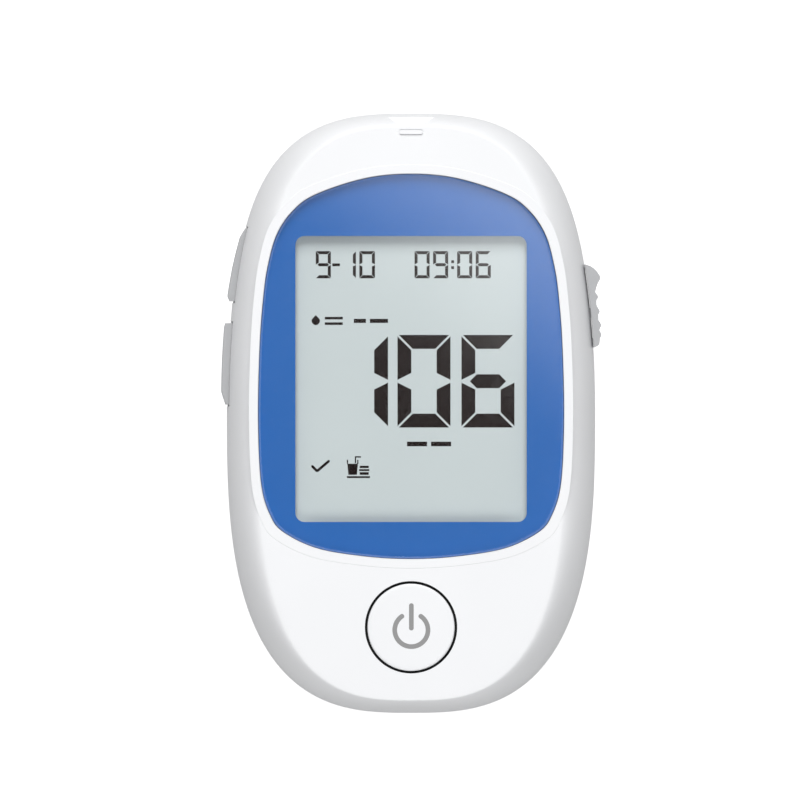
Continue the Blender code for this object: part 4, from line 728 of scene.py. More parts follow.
# %% Cell tub, door ledge and screw posts
DOOR_WALL = 0.0014
DOOR_CURL = 0.0060
BAY_HALF_WIDTH = 0.0110
BAY_SPAN = (-0.0420, 0.0085)
BAY_CEILING = 0.0125
BAY_WALL = 0.0009
LEDGE_STRIP = (0.0020, 0.0030)
LEDGE_OVERLAP = 0.0010
POST_RADIUS = 0.0030
POST_SIDES = 48
POST_HEIGHT = 0.0050
SCREW_PLACES = [(side * x, y) for x, y in ((0.0175, 0.0365), (0.0205, -0.0330)) for side in (-1, 1)]
door_half = door_high.x
door_end = door_high.y


def both_sides(x_range, y_range, z_range):
    """A block and its mirror image on the other side."""
    near, far = x_range
    return [block((-far, -near), y_range, z_range), block(x_range, y_range, z_range)]


def joined(meshes):
    """Puts separate bmeshes into one."""
    whole = meshes[0]
    for mesh in meshes[1:]:
        part = bpy.data.meshes.new("part")
        mesh.to_mesh(part)
        mesh.free()
        whole.from_mesh(part)
        bpy.data.meshes.remove(part)
    return whole


tub_half = BAY_HALF_WIDTH + BAY_WALL
tub_span = (BAY_SPAN[0] - BAY_WALL, BAY_SPAN[1] + BAY_WALL)
ledge_half = door_half + FIT + LEDGE_OVERLAP
behind = BAY_SPAN[0] - BAY_WALL / 2
shelf_low = DOOR_CURL + FIT + FIT
inner_low = DOOR_WALL - FIT
ledge_y = (behind, door_end + FIT + LEDGE_OVERLAP)
riser_y = (tub_span[0] - FIT, BAY_SPAN[0] - FIT)
riser_z = (DOOR_WALL, shelf_low + BAY_WALL / 2)
post = [(POST_RADIUS, WALL / 2), (POST_RADIUS, POST_HEIGHT)]
tub = block(around(0, tub_half), tub_span, (inner_low, BAY_CEILING + BAY_WALL))
fittings = piece_from("fittings", tub)
for fitting in (
    block(around(0, ledge_half), ledge_y, (inner_low, LEDGE_STRIP[1])),
    block(around(0, ledge_half + FIT), riser_y, riser_z),
    block(around(0, ledge_half), (-half_length, behind), (shelf_low, shelf_low + BAY_WALL)),
    joined([turned(post, POST_SIDES, place_at) for place_at in SCREW_PLACES]),
):
    carve(fittings, fitting, "UNION")
core = [(WALL / 2, case_top)] + back_roll(WALL / 2)
carve(fittings, skin(case_sections(core)), "INTERSECT")
carve(rear, mesh_of(fittings), "UNION")
print("rear shell with its fittings:", len(rear.data.polygons), "faces")

# %% Door cavity, bay and hook slots
HOOK_WEB = (0.0124, 0.0132)
HOOK_TOE = 0.0012
HOOK_STARTS = (-0.0020, -0.0300)
HOOK_LENGTH = 0.0040
DOOR_TRAVEL = 0.0050
cavity_depth = DOOR_WALL + FIT + FIT


def back_skin(thickness, overrun):
    """A layer of the back's surface, of a thickness, from the parting line down."""
    outer = [(inset - overrun, z - overrun) for inset, z in back_roll(0)]
    return skin(case_sections(back_roll(thickness)[::-1] + outer))


cavity_y = (-half_length - 2 * OVERRUN, door_end + FIT)
cavity_z = (-2 * OVERRUN, DOOR_CURL + FIT)
cavity = piece_from("cavity", back_skin(cavity_depth, OVERRUN))
carve(cavity, block(around(0, door_half + FIT), cavity_y, cavity_z), "INTERSECT")
carve(rear, mesh_of(cavity))
carve(rear, block(around(0, BAY_HALF_WIDTH), BAY_SPAN, (0, BAY_CEILING)))
webs, toes = [], []
slot_z = (LEDGE_STRIP[0] - FIT, LEDGE_STRIP[1] + FIT)
for start in HOOK_STARTS:
    back = start - DOOR_TRAVEL - FIT
    web_x = (HOOK_WEB[0] - FIT, HOOK_WEB[1] + FIT)
    webs += both_sides(web_x, (back - FIT, start + HOOK_LENGTH + FIT), slot_z)
    toe_x = (HOOK_WEB[0], HOOK_WEB[1] + HOOK_TOE + FIT)
    toes += both_sides(toe_x, (back, back + HOOK_LENGTH + 2 * FIT), slot_z)
carve(rear, joined(webs))
carve(rear, joined(toes))
print("door cavity cut:", len(rear.data.polygons), "faces")

# %% Screw wells, side slots and the strip's ramp
WELL_RADIUS = 0.0021
WELL_DEPTH = 0.0036
WELL_CHAMFER = 0.0003
WELL_SIDES = 64
SHANK_HOLE = 0.0013
RAMP_DROP = 0.0014
well = [
    (WELL_RADIUS + WELL_CHAMFER + OVERRUN, -OVERRUN),
    (WELL_RADIUS, WELL_CHAMFER),
    (WELL_RADIUS, WELL_DEPTH),
    (SHANK_HOLE, WELL_DEPTH),
    (SHANK_HOLE, POST_HEIGHT + OVERRUN),
]
carve(rear, joined([turned(well, WELL_SIDES, place_at) for place_at in SCREW_PLACES]))
for slot in side_slots():
    carve(rear, slot)

tip = half_length - NOTCH_DEPTH
ramp_span = (tip, half_length + NOTCH_DEPTH)
ramp = block(around(0, NOTCH_HALF_WIDTH), ramp_span, (PARTING_HEIGHT, lip_top + OVERRUN))
for vert in ramp.verts:
    if vert.co.y > half_length and vert.co.z < lip_top:
        vert.co.z -= 2 * RAMP_DROP
carve(rear, ramp)
place(rear, "case", "white_abs", white_abs, ["rear_cover"])

# %% [markdown]
# ## Battery door
#
# The door continues the back's skin and curls up over the case's end, so it is cut from the
# same rings as the back. Four hooks reach behind the case's ledge, and five grooves near the
# end give the thumb a grip when the door is slid off.

# %% Door panel, hooks and grooves
GRIP_COUNT = 5
GRIP_HALF_WIDTH = 0.0060
GRIP_START = -0.0400
GRIP_PITCH = 0.0016
GRIP_WIDTH = 0.0007
GRIP_DEPTH = 0.0004
HOOK_TOE_HEIGHT = 0.0008
door_y = (-half_length - OVERRUN, door_end)
door = piece_from("battery_door_panel", back_skin(DOOR_WALL, 0))
carve(door, block(around(0, door_half), door_y, (-OVERRUN, DOOR_CURL)), "INTERSECT")
toe_low = LEDGE_STRIP[1] + FIT
toe_top = toe_low + HOOK_TOE_HEIGHT
toe_x = (sum(HOOK_WEB) / 2, HOOK_WEB[1] + HOOK_TOE)
for across, heights in ((HOOK_WEB, (DOOR_WALL / 2, toe_top)), (toe_x, (toe_low, toe_top))):
    hooks = []
    for start in HOOK_STARTS:
        hooks += both_sides(across, (start, start + HOOK_LENGTH), heights)
    carve(door, joined(hooks), "UNION")
grips = []
for index in range(GRIP_COUNT):
    start = GRIP_START + index * GRIP_PITCH
    grip_y = (start, start + GRIP_WIDTH)
    grips.append(block(around(0, GRIP_HALF_WIDTH), grip_y, (-OVERRUN, GRIP_DEPTH)))
carve(door, joined(grips))
place(door, "door", "white_abs", white_abs, ["battery_door"])

# %% [markdown]
# ## Window plate and its print
#
# The plate is laser-cut acrylic with a small polished bevel round its top edge. The blue print
# behind it stops at a rounded opening over the display.

# %% Window plate
plate = skin(
    [
        (lens_outline(), lens_low.z),
        (lens_outline(), lens_high.z - LENS_BEVEL),
        (lens_outline(LENS_BEVEL), lens_high.z),
    ]
)
place(piece_from("window_plate", plate), "case", "clear_acrylic", clear_acrylic, ["window_lens"])

# %% Printed film with its opening
VIEW_HALF_WIDTH = 0.01885
VIEW_SPAN = (-0.01774, 0.02886)
VIEW_CORNER = 0.0015
VIEW_CORNER_STEPS = 12
PRINT_MARGIN = 0.00002

film = piece_from("window_print", lens_slab(PRINT_MARGIN, (mask_low.z, mask_high.z)))
view_z = (mask_low.z - OVERRUN, mask_high.z + OVERRUN)
view = block(around(0, VIEW_HALF_WIDTH), VIEW_SPAN, view_z)
round_edges(view, upright_edges(view), VIEW_CORNER, VIEW_CORNER_STEPS)
carve(film, view)
place(film, "case", "blue_printed_film", blue_print, ["window_mask"])

# %% [markdown]
# ## Rim line of painted shade, and tape
#
# A thin dark line runs round the window, where the narrow gap round the plate lies in shade. It
# is painted shade: a line of black ink at the very edge of the print, together with the real
# foam tape, which reaches out under the gap to darken its bottom and can just be seen down it.
# Both are flat rings between two insets of the window's outline.

# %% Dark rim of the print as painted shade, and the tape reaching under the gap
RIM_WIDTH = 0.00022
TAPE_WIDTH = 0.0021
tape_low, tape_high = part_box("window_tape")


def flat_ring(name, outer, inner, z_range):
    """A flat ring that follows the window's outline between two insets."""
    low, high = z_range
    made = piece_from(name, lens_slab(outer, z_range))
    return carve(made, lens_slab(inner, (low - OVERRUN, high + OVERRUN)))


# Black ink at the print's edge, painted shade for the gap round the plate
painted_rim_shade = flat_ring("window_painted_rim_shade", 0, RIM_WIDTH, (mask_high.z, mask_high.z + INK))
place(painted_rim_shade, "case", None, rim_shade_ink)
# The tape is black foam; its outer edge reaches under the gap, where its black stands in for the
# gap's shade
tape = flat_ring("window_tape_ring", INK - LENS_GAP, TAPE_WIDTH + FIT, (tape_low.z, tape_high.z))
place(tape, "case", "black_foam_tape", foam_tape, ["window_tape"])

# %% [markdown]
# ## Power button
#
# The round cap is a turned shape: a stem over the switch and a flat top whose rim is rounded
# over. A black silicone skirt under it keeps it in the case and closes the gap; its black is
# painted shade, standing in for the shadow down the gap, so the gap reads as a crisp black
# ring. Spinning a profile is how a lathe would make both. The mark on top, a broken ring with
# an upright bar, is pad-printed ink, so it is a film two hundredths of a millimetre high.

# %% Power cap
CAP_ROUND = 0.0003
CAP_ROLL_STEPS = 4
CAP_FLANGE = 0.0009
STEM_RADIUS = 0.0020
cap_top = button_high.z
flange_top = ceiling - FIT
rim = roll(0, cap_top - CAP_ROUND, cap_top, CAP_ROUND, CAP_ROLL_STEPS)
cap = turned(
    [
        (0, button_low.z),
        (STEM_RADIUS, button_low.z),
        (STEM_RADIUS, flange_top - CAP_FLANGE),
        (CAP_RADIUS, flange_top - CAP_FLANGE),
        *((CAP_RADIUS - inset, z) for inset, z in rim),
        (CAP_RADIUS - 2 * CAP_ROUND, cap_top),
        (0, cap_top),
    ],
    HOLE_SIDES,
    (0, power_y),
)
place(piece_from("power_cap", cap), "power_key", "white_abs", white_abs, ["power_button"])

# %% Skirt of the cap, black as painted shade for the gap
skirt_radius = hole_radius + CAP_FLANGE
skirt_profile = [(skirt_radius, flange_top - CAP_FLANGE), (skirt_radius, flange_top)]
cap_room = [(CAP_RADIUS, ceiling - WALL * 2), (CAP_RADIUS, case_top)]
skirt = piece_from("power_skirt", turned(skirt_profile, HOLE_SIDES, (0, power_y)))
carve(skirt, turned(cap_room, HOLE_SIDES, (0, power_y)))
# The skirt's black is painted shade for the gap round the cap.
place(skirt, "power_key", None, gap_shade_rubber)

# %% [markdown]
# ## Side keys
#
# Two long grey keys stand a millimetre out of the left side. Each follows the case's own
# curve, so its outer face is drawn through stations along that curve, and a height table gives
# how far it stands out at each. Behind the wall it has a flange that keeps it in and a short
# stem that meets its switch.

# %% Side keys
KEY_ROUND = 0.00022
KEY_ROUND_STEPS = 4
KEY_STATIONS = 48
upper_shares = ((0.0, 0.0), (0.12, 0.55), (0.55, 0.85), (0.93, 1.0), (1.0, 0.55))
lower_shares = ((0.0, 0.85), (0.04, 1.0), (0.45, 1.0), (0.84, 0.97), (1.0, 0.25))
KEYS = {
    "upper": (upper_shares, 0.00095, "upper_key"),
    "lower": (lower_shares, 0.00098, "lower_key"),
}
FLANGE = 0.0009
FLANGE_GAP = 0.0003
KEY_STEM_HALF = 0.0015
KEY_STEM_HEIGHTS = (0.0112, 0.0126)


def between(outer, inner, z_range):
    """A solid between two runs of (x, y) places, upright over a range of heights."""
    outline = list(outer) + list(inner)[::-1]
    return skin([(outline, z) for z in z_range])


for name, (shares, proud, body) in KEYS.items():
    near, far = key_spans[name]
    stations = np.linspace(0, 1, KEY_STATIONS)
    heights = np.interp(stations, *zip(*shares))
    ys = far - (far - near) * stations
    outer = [(-side_at(y) - proud * height, y) for y, height in zip(ys, heights)]
    inner = [(-side_at(y, WALL) + FLANGE_GAP + FLANGE / 2, y) for y in ys]
    mesh = between(outer, inner, (KEY_LOW, KEY_HIGH))
    edge = {(round(x, 7), round(y, 7)) for x, y in outer}
    level = [e for e in mesh.edges if drop_of(e) < KEY_ROUND]
    level = [e for e in level if all((round(v.co.x, 7), round(v.co.y, 7)) in edge for v in e.verts)]
    round_edges(mesh, level, KEY_ROUND, KEY_ROUND_STEPS)
    key = piece_from(f"{name}_side_key", mesh)
    ys = np.linspace(far + FLANGE_MARGIN, near - FLANGE_MARGIN, KEY_STATIONS)
    front_run = [(-side_at(y, WALL) + FLANGE_GAP, y) for y in ys]
    back_run = [(x + FLANGE, y) for x, y in front_run]
    carve(key, between(front_run, back_run, (KEY_LOW - FLANGE_MARGIN, KEY_HIGH + FIT)), "UNION")
    middle = (near + far) / 2
    root = -side_at(middle, WALL) + FLANGE_GAP + FLANGE
    stem_x = (root - FLANGE / 2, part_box(f"{name}_switch_plunger")[0].x - FIT)
    carve(key, block(stem_x, around(middle, KEY_STEM_HALF), KEY_STEM_HEIGHTS), "UNION")
    place(key, body, "grey_abs", grey_abs, [f"{name}_side_button"])

# %% [markdown]
# ## Strip ejector
#
# The knob on the right edge is a ridged strip of grey ABS that stands just off the case, on a
# neck that runs in a slot. It could be a box with ribs, but a thumb rest and four small crests
# run into each other here, so one outline is drawn through their crests and hollows, softened
# over three stations and raised to the knob's height.

# %% Slider knob
SLIDER_GAP = 0.00005
SLIDER_THIN = 0.00009
SLIDER_PROUD = 0.0021
SLIDER_SPAN = (0.01075, 0.0243)
SLIDER_HEIGHTS = (0.0082, 0.0134)
SLIDER_STATIONS = 200
NECK_INNER_X = 0.0251
SLIDER_SHARES = (
    (0, 0), (0.02, 0.37), (0.05, 0.63), (0.09, 0.83), (0.14, 1),
    (0.165, 1), (0.19, 0.93), (0.215, 0.79), (0.26, 0.64), (0.31, 0.51),
    (0.335, 0.45), (0.36, 0.56), (0.385, 0.65), (0.405, 0.62), (0.43, 0.48),
    (0.48, 0.44), (0.505, 0.47), (0.55, 0.62), (0.575, 0.64), (0.60, 0.51),
    (0.67, 0.47), (0.70, 0.59), (0.735, 0.67), (0.77, 0.54), (0.792, 0.48),
    (0.84, 0.62), (0.865, 0.58), (0.89, 0.49), (0.96, 0.41), (0.985, 0.25),
    (1, 0),
)
stations = np.linspace(0, 1, SLIDER_STATIONS)
heights = np.interp(stations, *zip(*SLIDER_SHARES))
SOFTENING = 3
padded = np.pad(heights, SOFTENING // 2, mode="edge")
heights = np.convolve(padded, np.full(SOFTENING, 1 / SOFTENING), mode="valid")
ys = SLIDER_SPAN[1] - (SLIDER_SPAN[1] - SLIDER_SPAN[0]) * stations
inner = [(side_at(y) + SLIDER_GAP, y) for y in ys]
outer = [(x + SLIDER_THIN + SLIDER_PROUD * height, y) for (x, y), height in zip(inner, heights)]
knob = piece_from("ejector_knob", between(outer, inner, SLIDER_HEIGHTS))
neck_x = (NECK_INNER_X, side_at(NECK_SPAN[1]) + SLIDER_GAP + SLIDER_THIN)
carve(knob, block(neck_x, NECK_SPAN, NECK_HEIGHTS), "UNION")
place(knob, "ejector", "grey_abs", grey_abs, ["ejector_slider"])

# %% [markdown]
# ## The other nodes
#
# What sits inside the case keeps its CAD mesh, whose facets are small enough for it, and gets
# the finish of what it is made of.

# %% Finish the nodes carried over
FINISHES = (
    (display_glass, "lcd_glass"),
    (diffuser, "backlight_panel"),
    (natural_pc, "lcd_holder strip_port ejector_pusher"),
    (zebra_rubber, "zebra_strip"),
    (board_green, "main_board"),
    (black_pbt, "processor_chip amplifier_chip buzzer"),
    (black_pbt, "power_switch_base upper_switch_base lower_switch_base"),
    (grey_abs, "power_switch_plunger upper_switch_plunger lower_switch_plunger"),
    (nickel, "clock_crystal ejector_spring battery_bridge battery_spring_1 battery_spring_2"),
    (nickel, "battery_negative_contact battery_positive_contact board_screw_1 board_screw_2"),
    (nickel, "case_screw_1 case_screw_2 case_screw_3 case_screw_4"),
    (gold, "strip_contact_1 strip_contact_2 strip_contact_3 strip_contact_4"),
    (cell_sleeve, "battery_1 battery_2"),
)
carried = 0
for finish, names in FINISHES:
    for name in names.split():
        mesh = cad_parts[name].data
        mesh.materials.clear()
        mesh.materials.append(finish)
        carried += 1
print("carried over:", carried, "nodes")

# %% [markdown]
# ## Reading on the display
#
# A liquid-crystal digit is seven separate bars whose ends are cut at 45 degrees, so that they
# meet along thin pale lines. The six outer bars are mitred outlines and the middle one is a
# box with its ends drawn to a point. All lie on the display's glass as a film two hundredths
# of a millimetre high.

# %% Seven-segment digits
PIXEL = 0.0001635
PICTURE_CENTRE = (411, 413.5)
ink_z = (glass_top, glass_top + INK)
SEGMENTS = {
    "0": "abcdef",
    "1": "bc",
    "6": "acdefg",
    "9": "abcdfg",
    "-": "g",
}


def bar(start, end, stroke):
    """One bar between two places, with both ends brought to a point at 45 degrees."""
    run = Vector(end) - Vector(start)
    mesh = bmesh.new()
    turn = Matrix.Rotation(math.atan2(run.y, run.x), 4, "Z")
    middle = (Vector(start) + Vector(end)) / 2
    body = (run.length - stroke) / 2
    bmesh.ops.create_cube(mesh, size=1.0, matrix=Matrix.Diagonal((2 * body, stroke, INK, 1)))
    level = [edge for edge in mesh.edges if drop_of(edge) < INK / 2]
    ends = [edge for edge in level if abs(edge.verts[0].co.x - edge.verts[1].co.x) < INK]
    cuts = bmesh.ops.subdivide_edges(mesh, edges=ends, cuts=1)
    for vert in cuts["geom_inner"]:
        if isinstance(vert, bmesh.types.BMVert):
            vert.co.x += math.copysign(stroke / 2, vert.co.x)
    bmesh.ops.recalc_face_normals(mesh, faces=mesh.faces)
    move = Matrix.Translation((middle.x, middle.y, glass_top + INK / 2))
    bmesh.ops.transform(mesh, verts=mesh.verts, matrix=move @ turn)
    return mesh


def mitred(start, end, inward, cuts, stroke):
    """An outer bar: its outer side runs from start to end, its inner side is cut back."""
    start, end, inward = Vector(start), Vector(end), Vector(inward)
    run = (end - start).normalized()
    inner_end = end + inward * stroke - run * cuts[1]
    inner_start = start + inward * stroke + run * cuts[0]
    corners = [tuple(corner) for corner in (start, end, inner_end, inner_start)]
    return skin([(corners, z) for z in ink_z])


def digit(sign, left, right, low, high, stroke, gap):
    """The bars of one digit whose box is given in metres on the display."""
    middle = (low + high) / 2
    step = gap / math.sqrt(2)
    full, half = stroke, stroke / 2
    outer = {
        "a": ((left + step, high), (right - step, high), (0, -1), (full, full)),
        "b": ((right, high - step), (right, middle + step), (-1, 0), (full, half)),
        "c": ((right, middle - step), (right, low + step), (-1, 0), (half, full)),
        "d": ((left + step, low), (right - step, low), (0, 1), (full, full)),
        "e": ((left, middle - step), (left, low + step), (1, 0), (half, full)),
        "f": ((left, high - step), (left, middle + step), (1, 0), (full, half)),
    }
    bars = [mitred(*outer[letter], stroke) for letter in SEGMENTS[sign] if letter in outer]
    if "g" in SEGMENTS[sign]:
        bars.append(bar((left + half + step, middle), (right - half - step, middle), stroke))
    return bars


def spot(column, row):
    """Turns a place in the photograph's pixels into metres on the display."""
    return (column - PICTURE_CENTRE[0]) * PIXEL, (PICTURE_CENTRE[1] - row) * PIXEL


def patch(left, top, right, bottom):
    """A flat rectangle on the display between two places of the photograph."""
    west, north = spot(left, top)
    east, south = spot(right, bottom)
    return block((west, east), (south, north), ink_z)


BIG_ROWS = (335.6, 427.8)
SMALL_ROWS = (252.0, 279.0)
BIG_STROKE = 13.75
SMALL_STROKE = 3.0
BIG_GAP = 2.0
SMALL_GAP = 0.45
COLON_SIDE = 2.8
BIG = (("1", 345.0, 388.0), ("0", 397.5, 450.3), ("6", 461.3, 514.1))
SMALL = (
    ("9", 316.0, 331.0),
    ("1", 341.0, 356.0),
    ("0", 359.5, 375.0),
    ("0", 414.5, 429.5),
    ("9", 433.0, 448.0),
    ("0", 457.0, 472.0),
    ("6", 475.5, 490.5),
)
bars = []
for signs, rows, stroke, gap in (
    (BIG, BIG_ROWS, BIG_STROKE, BIG_GAP),
    (SMALL, SMALL_ROWS, SMALL_STROKE, SMALL_GAP),
):
    for sign, left, right in signs:
        west, north = spot(left, rows[0])
        east, south = spot(right, rows[1])
        bars += digit(sign, west, east, south, north, stroke * PIXEL, gap * PIXEL)
bars.append(patch(332.5, 264.2, 340.0, 267.0))
for row in (262.5, 268.4):
    across, up = spot(452.5, row)
    half = COLON_SIDE * PIXEL / 2
    bars.append(block(around(across, half), around(up, half), ink_z))
reading = piece_from("display_reading", joined(bars))
place(reading, "case", None, crystal_black)

# %% [markdown]
# ## Small marks on the display
#
# The display also carries small fixed signs, drawn here plainly: a drop, bars, a tick, and a
# beaker beside a stack of buns, which stands for a reading taken after a meal.

# %% Drop, bars, tick and meal sign
TICK_STROKE = 2.6 * PIXEL
DROP_ROUND = 0.45
INK_CORNER_STEPS = 6


def drop(column, row, side):
    """A square with three rounded corners, stood on its round one."""
    mesh = block(around(0, side / 2), around(0, side / 2), ink_z)
    rounded = [e for e in upright_edges(mesh) if min(*e.verts[0].co.xy) < 0]
    round_edges(mesh, rounded, side * DROP_ROUND, INK_CORNER_STEPS)
    turn = Matrix.Rotation(math.pi / 4, 3, "Z")
    bmesh.ops.rotate(mesh, verts=mesh.verts, cent=(0, 0, 0), matrix=turn)
    bmesh.ops.translate(mesh, verts=mesh.verts, vec=(*spot(column, row), 0))
    return mesh


def beaker(left, top, right, bottom, taper):
    """A cup's side view: a rectangle whose lower corners are drawn in."""
    mesh = patch(left, top, right, bottom)
    floor_y = spot(left, bottom)[1]
    middle = spot((left + right) / 2, bottom)[0]
    for vert in mesh.verts:
        if abs(vert.co.y - floor_y) < INK:
            vert.co.x = middle + (vert.co.x - middle) * taper
    return mesh


marks = [
    drop(316.0, 321.5, 8.0 * PIXEL),
    patch(325, 317.5, 343, 320.0),
    patch(325, 323.0, 343, 325.5),
    patch(354, 319.5, 366, 323.5),
    patch(370, 319.5, 388, 323.5),
    patch(407, 442.0, 427, 446.5),
    patch(431, 442.0, 451, 446.5),
    bar(spot(311.5, 465.5), spot(318.0, 472.0), TICK_STROKE),
    bar(spot(316.5, 472.0), spot(330.0, 460.5), TICK_STROKE),
    beaker(347.5, 464.0, 358.0, 475.0, 0.8),
    patch(347.0, 460.0, 348.2, 464.0),
    patch(357.3, 460.0, 358.5, 464.0),
    patch(355.0, 456.5, 356.2, 463.5),
    patch(355.0, 456.5, 361.0, 457.8),
    patch(359.8, 466.0, 368.8, 468.2),
    patch(359.2, 469.4, 369.4, 471.2),
    patch(359.8, 472.4, 368.8, 475.0),
    patch(347.0, 476.4, 370.0, 478.2),
]
place(piece_from("display_marks", joined(marks)), "case", None, crystal_black)

# %% Power mark on the round button
MARK_CENTRE = (0.00005, -0.03533)
ARC_RADIUS = 0.00271
ARC_STROKE = 0.00076
ARC_OPENING = math.radians(34.5)
ARC_STEPS = 72
DOT_SIDES = 32
BAR_SPAN = (-0.03540, -0.03098)


def flat_arc():
    """A ring's section spun round the mark's centre, leaving the opening at the top."""
    mesh = bmesh.new()
    section = bmesh.ops.create_grid(mesh, x_segments=1, y_segments=1, size=0.5)["verts"]
    shape = Matrix.Diagonal((ARC_STROKE, INK, 1, 1))
    upright = Matrix.Rotation(math.pi / 2, 4, "X")
    move = Matrix.Translation((ARC_RADIUS, 0, cap_top))
    bmesh.ops.transform(mesh, verts=section, matrix=move @ upright @ shape)
    start = math.pi / 2 + ARC_OPENING
    bmesh.ops.rotate(mesh, verts=section, cent=(0, 0, 0), matrix=Matrix.Rotation(start, 3, "Z"))
    bmesh.ops.spin(
        mesh,
        geom=mesh.faces[:] + mesh.edges[:] + mesh.verts[:],
        axis=(0, 0, 1),
        cent=(0, 0, 0),
        angle=2 * math.pi - 2 * ARC_OPENING,
        steps=ARC_STEPS,
        use_merge=False,
    )
    bmesh.ops.recalc_face_normals(mesh, faces=mesh.faces)
    bmesh.ops.translate(mesh, verts=mesh.verts, vec=(*MARK_CENTRE, 0))
    return mesh


arc = piece_from("power_mark", flat_arc())
half_stroke = ARC_STROKE / 2
mark_z = around(cap_top, INK / 2)
upright_bar = block(around(MARK_CENTRE[0], half_stroke), BAR_SPAN, mark_z)
bar_edges = upright_edges(upright_bar)
round_edges(upright_bar, bar_edges, half_stroke * NEARLY_ROUND, INK_CORNER_STEPS)
dot = [(half_stroke, z) for z in mark_z]
for side in (-1, 1):
    turn = math.pi / 2 + side * ARC_OPENING
    across, up = ARC_RADIUS * math.cos(turn), ARC_RADIUS * math.sin(turn)
    end = turned(dot, DOT_SIDES, (MARK_CENTRE[0] + across, MARK_CENTRE[1] + up))
    carve(arc, end, "UNION")
carve(arc, upright_bar, "UNION")
place(arc, "power_key", None, grey_ink)

# %% [markdown]
# ## Camera, light and floor
#
# The photograph is taken from straight above with a long lens. Two soft lamps light it: the
# main one stands low beyond the strip end, and a weaker one beyond the other end fills in. The
# world is bright for what looks at it or mirrors it and dim as a light. The floor is pale and
# keeps the shadow. A camera ray that meets it sees some light of its own, so that it reads as
# white paper without more light on the meter.

# %% Camera
DISTANCE = 3.0
ELEVATION = math.radians(89.9)
SENSOR_MM = 36.0
PICTURE_SIDE = 800
AIM = (-0.0018, 0.00221)
WHITE = (1, 1, 1, 1)
target = Vector((*AIM, seam_top))
camera_data = bpy.data.cameras.new("product_camera")
camera_data.sensor_width = SENSOR_MM
camera_data.lens = SENSOR_MM * DISTANCE / (PICTURE_SIDE * PIXEL)
camera_data.clip_start = 0.1
camera_data.clip_end = 50
camera = bpy.data.objects.new("product_camera", camera_data)
back = Vector((0, -math.cos(ELEVATION), math.sin(ELEVATION)))
camera.location = target + back * DISTANCE
camera.rotation_euler = back.to_track_quat("Z", "Y").to_euler()
bpy.context.scene.collection.objects.link(camera)
bpy.context.scene.camera = camera
print("camera lens:", round(camera_data.lens), "mm")

# %% Lamps and world
LAMP_SIZE = 0.7
LAMPS = {"main_softbox": ((0.0, 0.92, 0.77), 11.7), "fill_softbox": ((0.0, -0.77, 0.92), 5.0)}
for name, (spot_at, power) in LAMPS.items():
    data = bpy.data.lights.new(name, "AREA")
    data.energy = power
    data.size = LAMP_SIZE
    lamp = bpy.data.objects.new(name, data)
    lamp.location = spot_at
    lamp.rotation_euler = Vector(spot_at).to_track_quat("Z", "Y").to_euler()
    bpy.context.scene.collection.objects.link(lamp)
world = bpy.data.worlds.new("studio")
bpy.context.scene.world = world
world.use_nodes = True
tree = world.node_tree
tree.nodes.clear()
WORLD_LEVEL = 0.35
rays = add(tree, "ShaderNodeLightPath")
seen = rays.outputs["Is Camera Ray"]
for kind in ("Is Glossy Ray", "Is Transmission Ray"):
    both = {0: seen, 1: rays.outputs[kind]}
    seen = add(tree, "ShaderNodeMath", None, both, operation="MAXIMUM").outputs[0]
level = add(tree, "ShaderNodeMapRange", {"To Min": WORLD_LEVEL, "To Max": 1.0}, {"Value": seen})
sky = add(tree, "ShaderNodeBackground", {"Color": WHITE}, {"Strength": level.outputs["Result"]})
add(tree, "ShaderNodeOutputWorld", None, {"Surface": sky.outputs["Background"]})

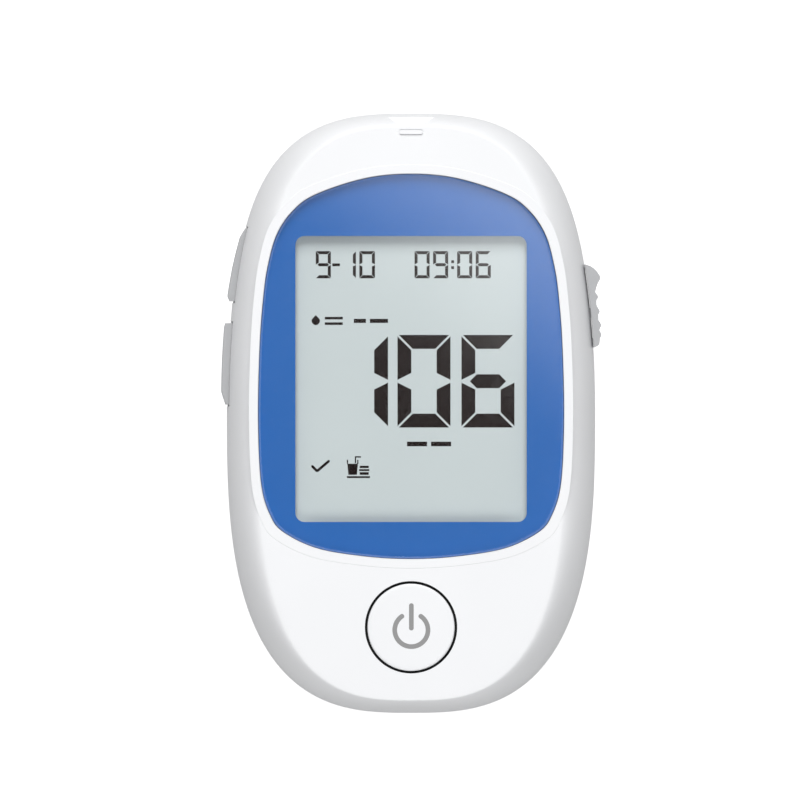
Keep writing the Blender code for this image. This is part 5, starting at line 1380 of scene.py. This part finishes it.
# %% Floor
FLOOR_HALF = 1.5
FLOOR_DROP = 0.0002
FLOOR_GLOW = 0.74
paper, tree, shader, coords = new_material("pale_paper_sweep", "#BEBEBE", Roughness=0.9)
rays = add(tree, "ShaderNodeLightPath")
from_camera = {0: rays.outputs["Is Camera Ray"]}
glow = add(tree, "ShaderNodeMath", {1: FLOOR_GLOW}, from_camera, operation="MULTIPLY")
shader.inputs["Emission Color"].default_value = WHITE
tree.links.new(glow.outputs[0], shader.inputs["Emission Strength"])


def staged_sheet(name, half, height, finish):
    """A square sheet at a height with its finish, apart from the meter's bodies."""
    mesh = bmesh.new()
    bmesh.ops.create_grid(mesh, x_segments=1, y_segments=1, size=half)
    bmesh.ops.translate(mesh, verts=mesh.verts, vec=(0, 0, height))
    sheet = piece_from(name, mesh)
    sheet.data.materials.append(finish)
    return sheet


staged_sheet("floor", FLOOR_HALF, -FLOOR_DROP, paper)

# %% [markdown]
# ## Card over the window
#
# A glossy window mirrors what hangs over it. A card above the camera, dark on one side and
# shining on the other, gives the window its smooth change from deep blue to pale. Only
# mirrored and passed rays see the card, so it lights nothing.

# %% Card over the window
CARD_HEIGHT = 3.2
CARD_HALF = 0.8
CARD_START = (0.012, 0.018, 0)
CARD_TURN = math.radians(52)
CARD_FADE = 0.075
CARD_SHINE = 2.0
card_finish = bpy.data.materials.new("grey_card")
card_finish.use_nodes = True
tree = card_finish.node_tree
tree.nodes.clear()
coords = add(tree, "ShaderNodeTexCoord").outputs["Object"]
turn = {"Location": CARD_START, "Rotation": (0, 0, CARD_TURN)}
turned_coords = add(tree, "ShaderNodeMapping", turn, {"Vector": coords}, vector_type="TEXTURE")
across = add(tree, "ShaderNodeSeparateXYZ", None, {"Vector": turned_coords.outputs["Vector"]})
strength = add(
    tree,
    "ShaderNodeMapRange",
    {"From Min": 0.0, "From Max": CARD_FADE, "To Min": 0.0, "To Max": CARD_SHINE},
    {"Value": across.outputs["X"]},
    interpolation_type="SMOOTHSTEP",
)
shining = {"Strength": strength.outputs["Result"]}
shine = add(tree, "ShaderNodeEmission", {"Color": WHITE}, shining)
add(tree, "ShaderNodeOutputMaterial", None, {"Surface": shine.outputs["Emission"]})
card = staged_sheet("overhead_card", CARD_HALF, CARD_HEIGHT, card_finish)
card.visible_camera = False
card.visible_diffuse = False
card.visible_shadow = False

# %% View settings
bpy.context.scene.view_settings.view_transform = "Standard"

# %% Print the face counts of the pieces made
print("pieces:", pieces_made)
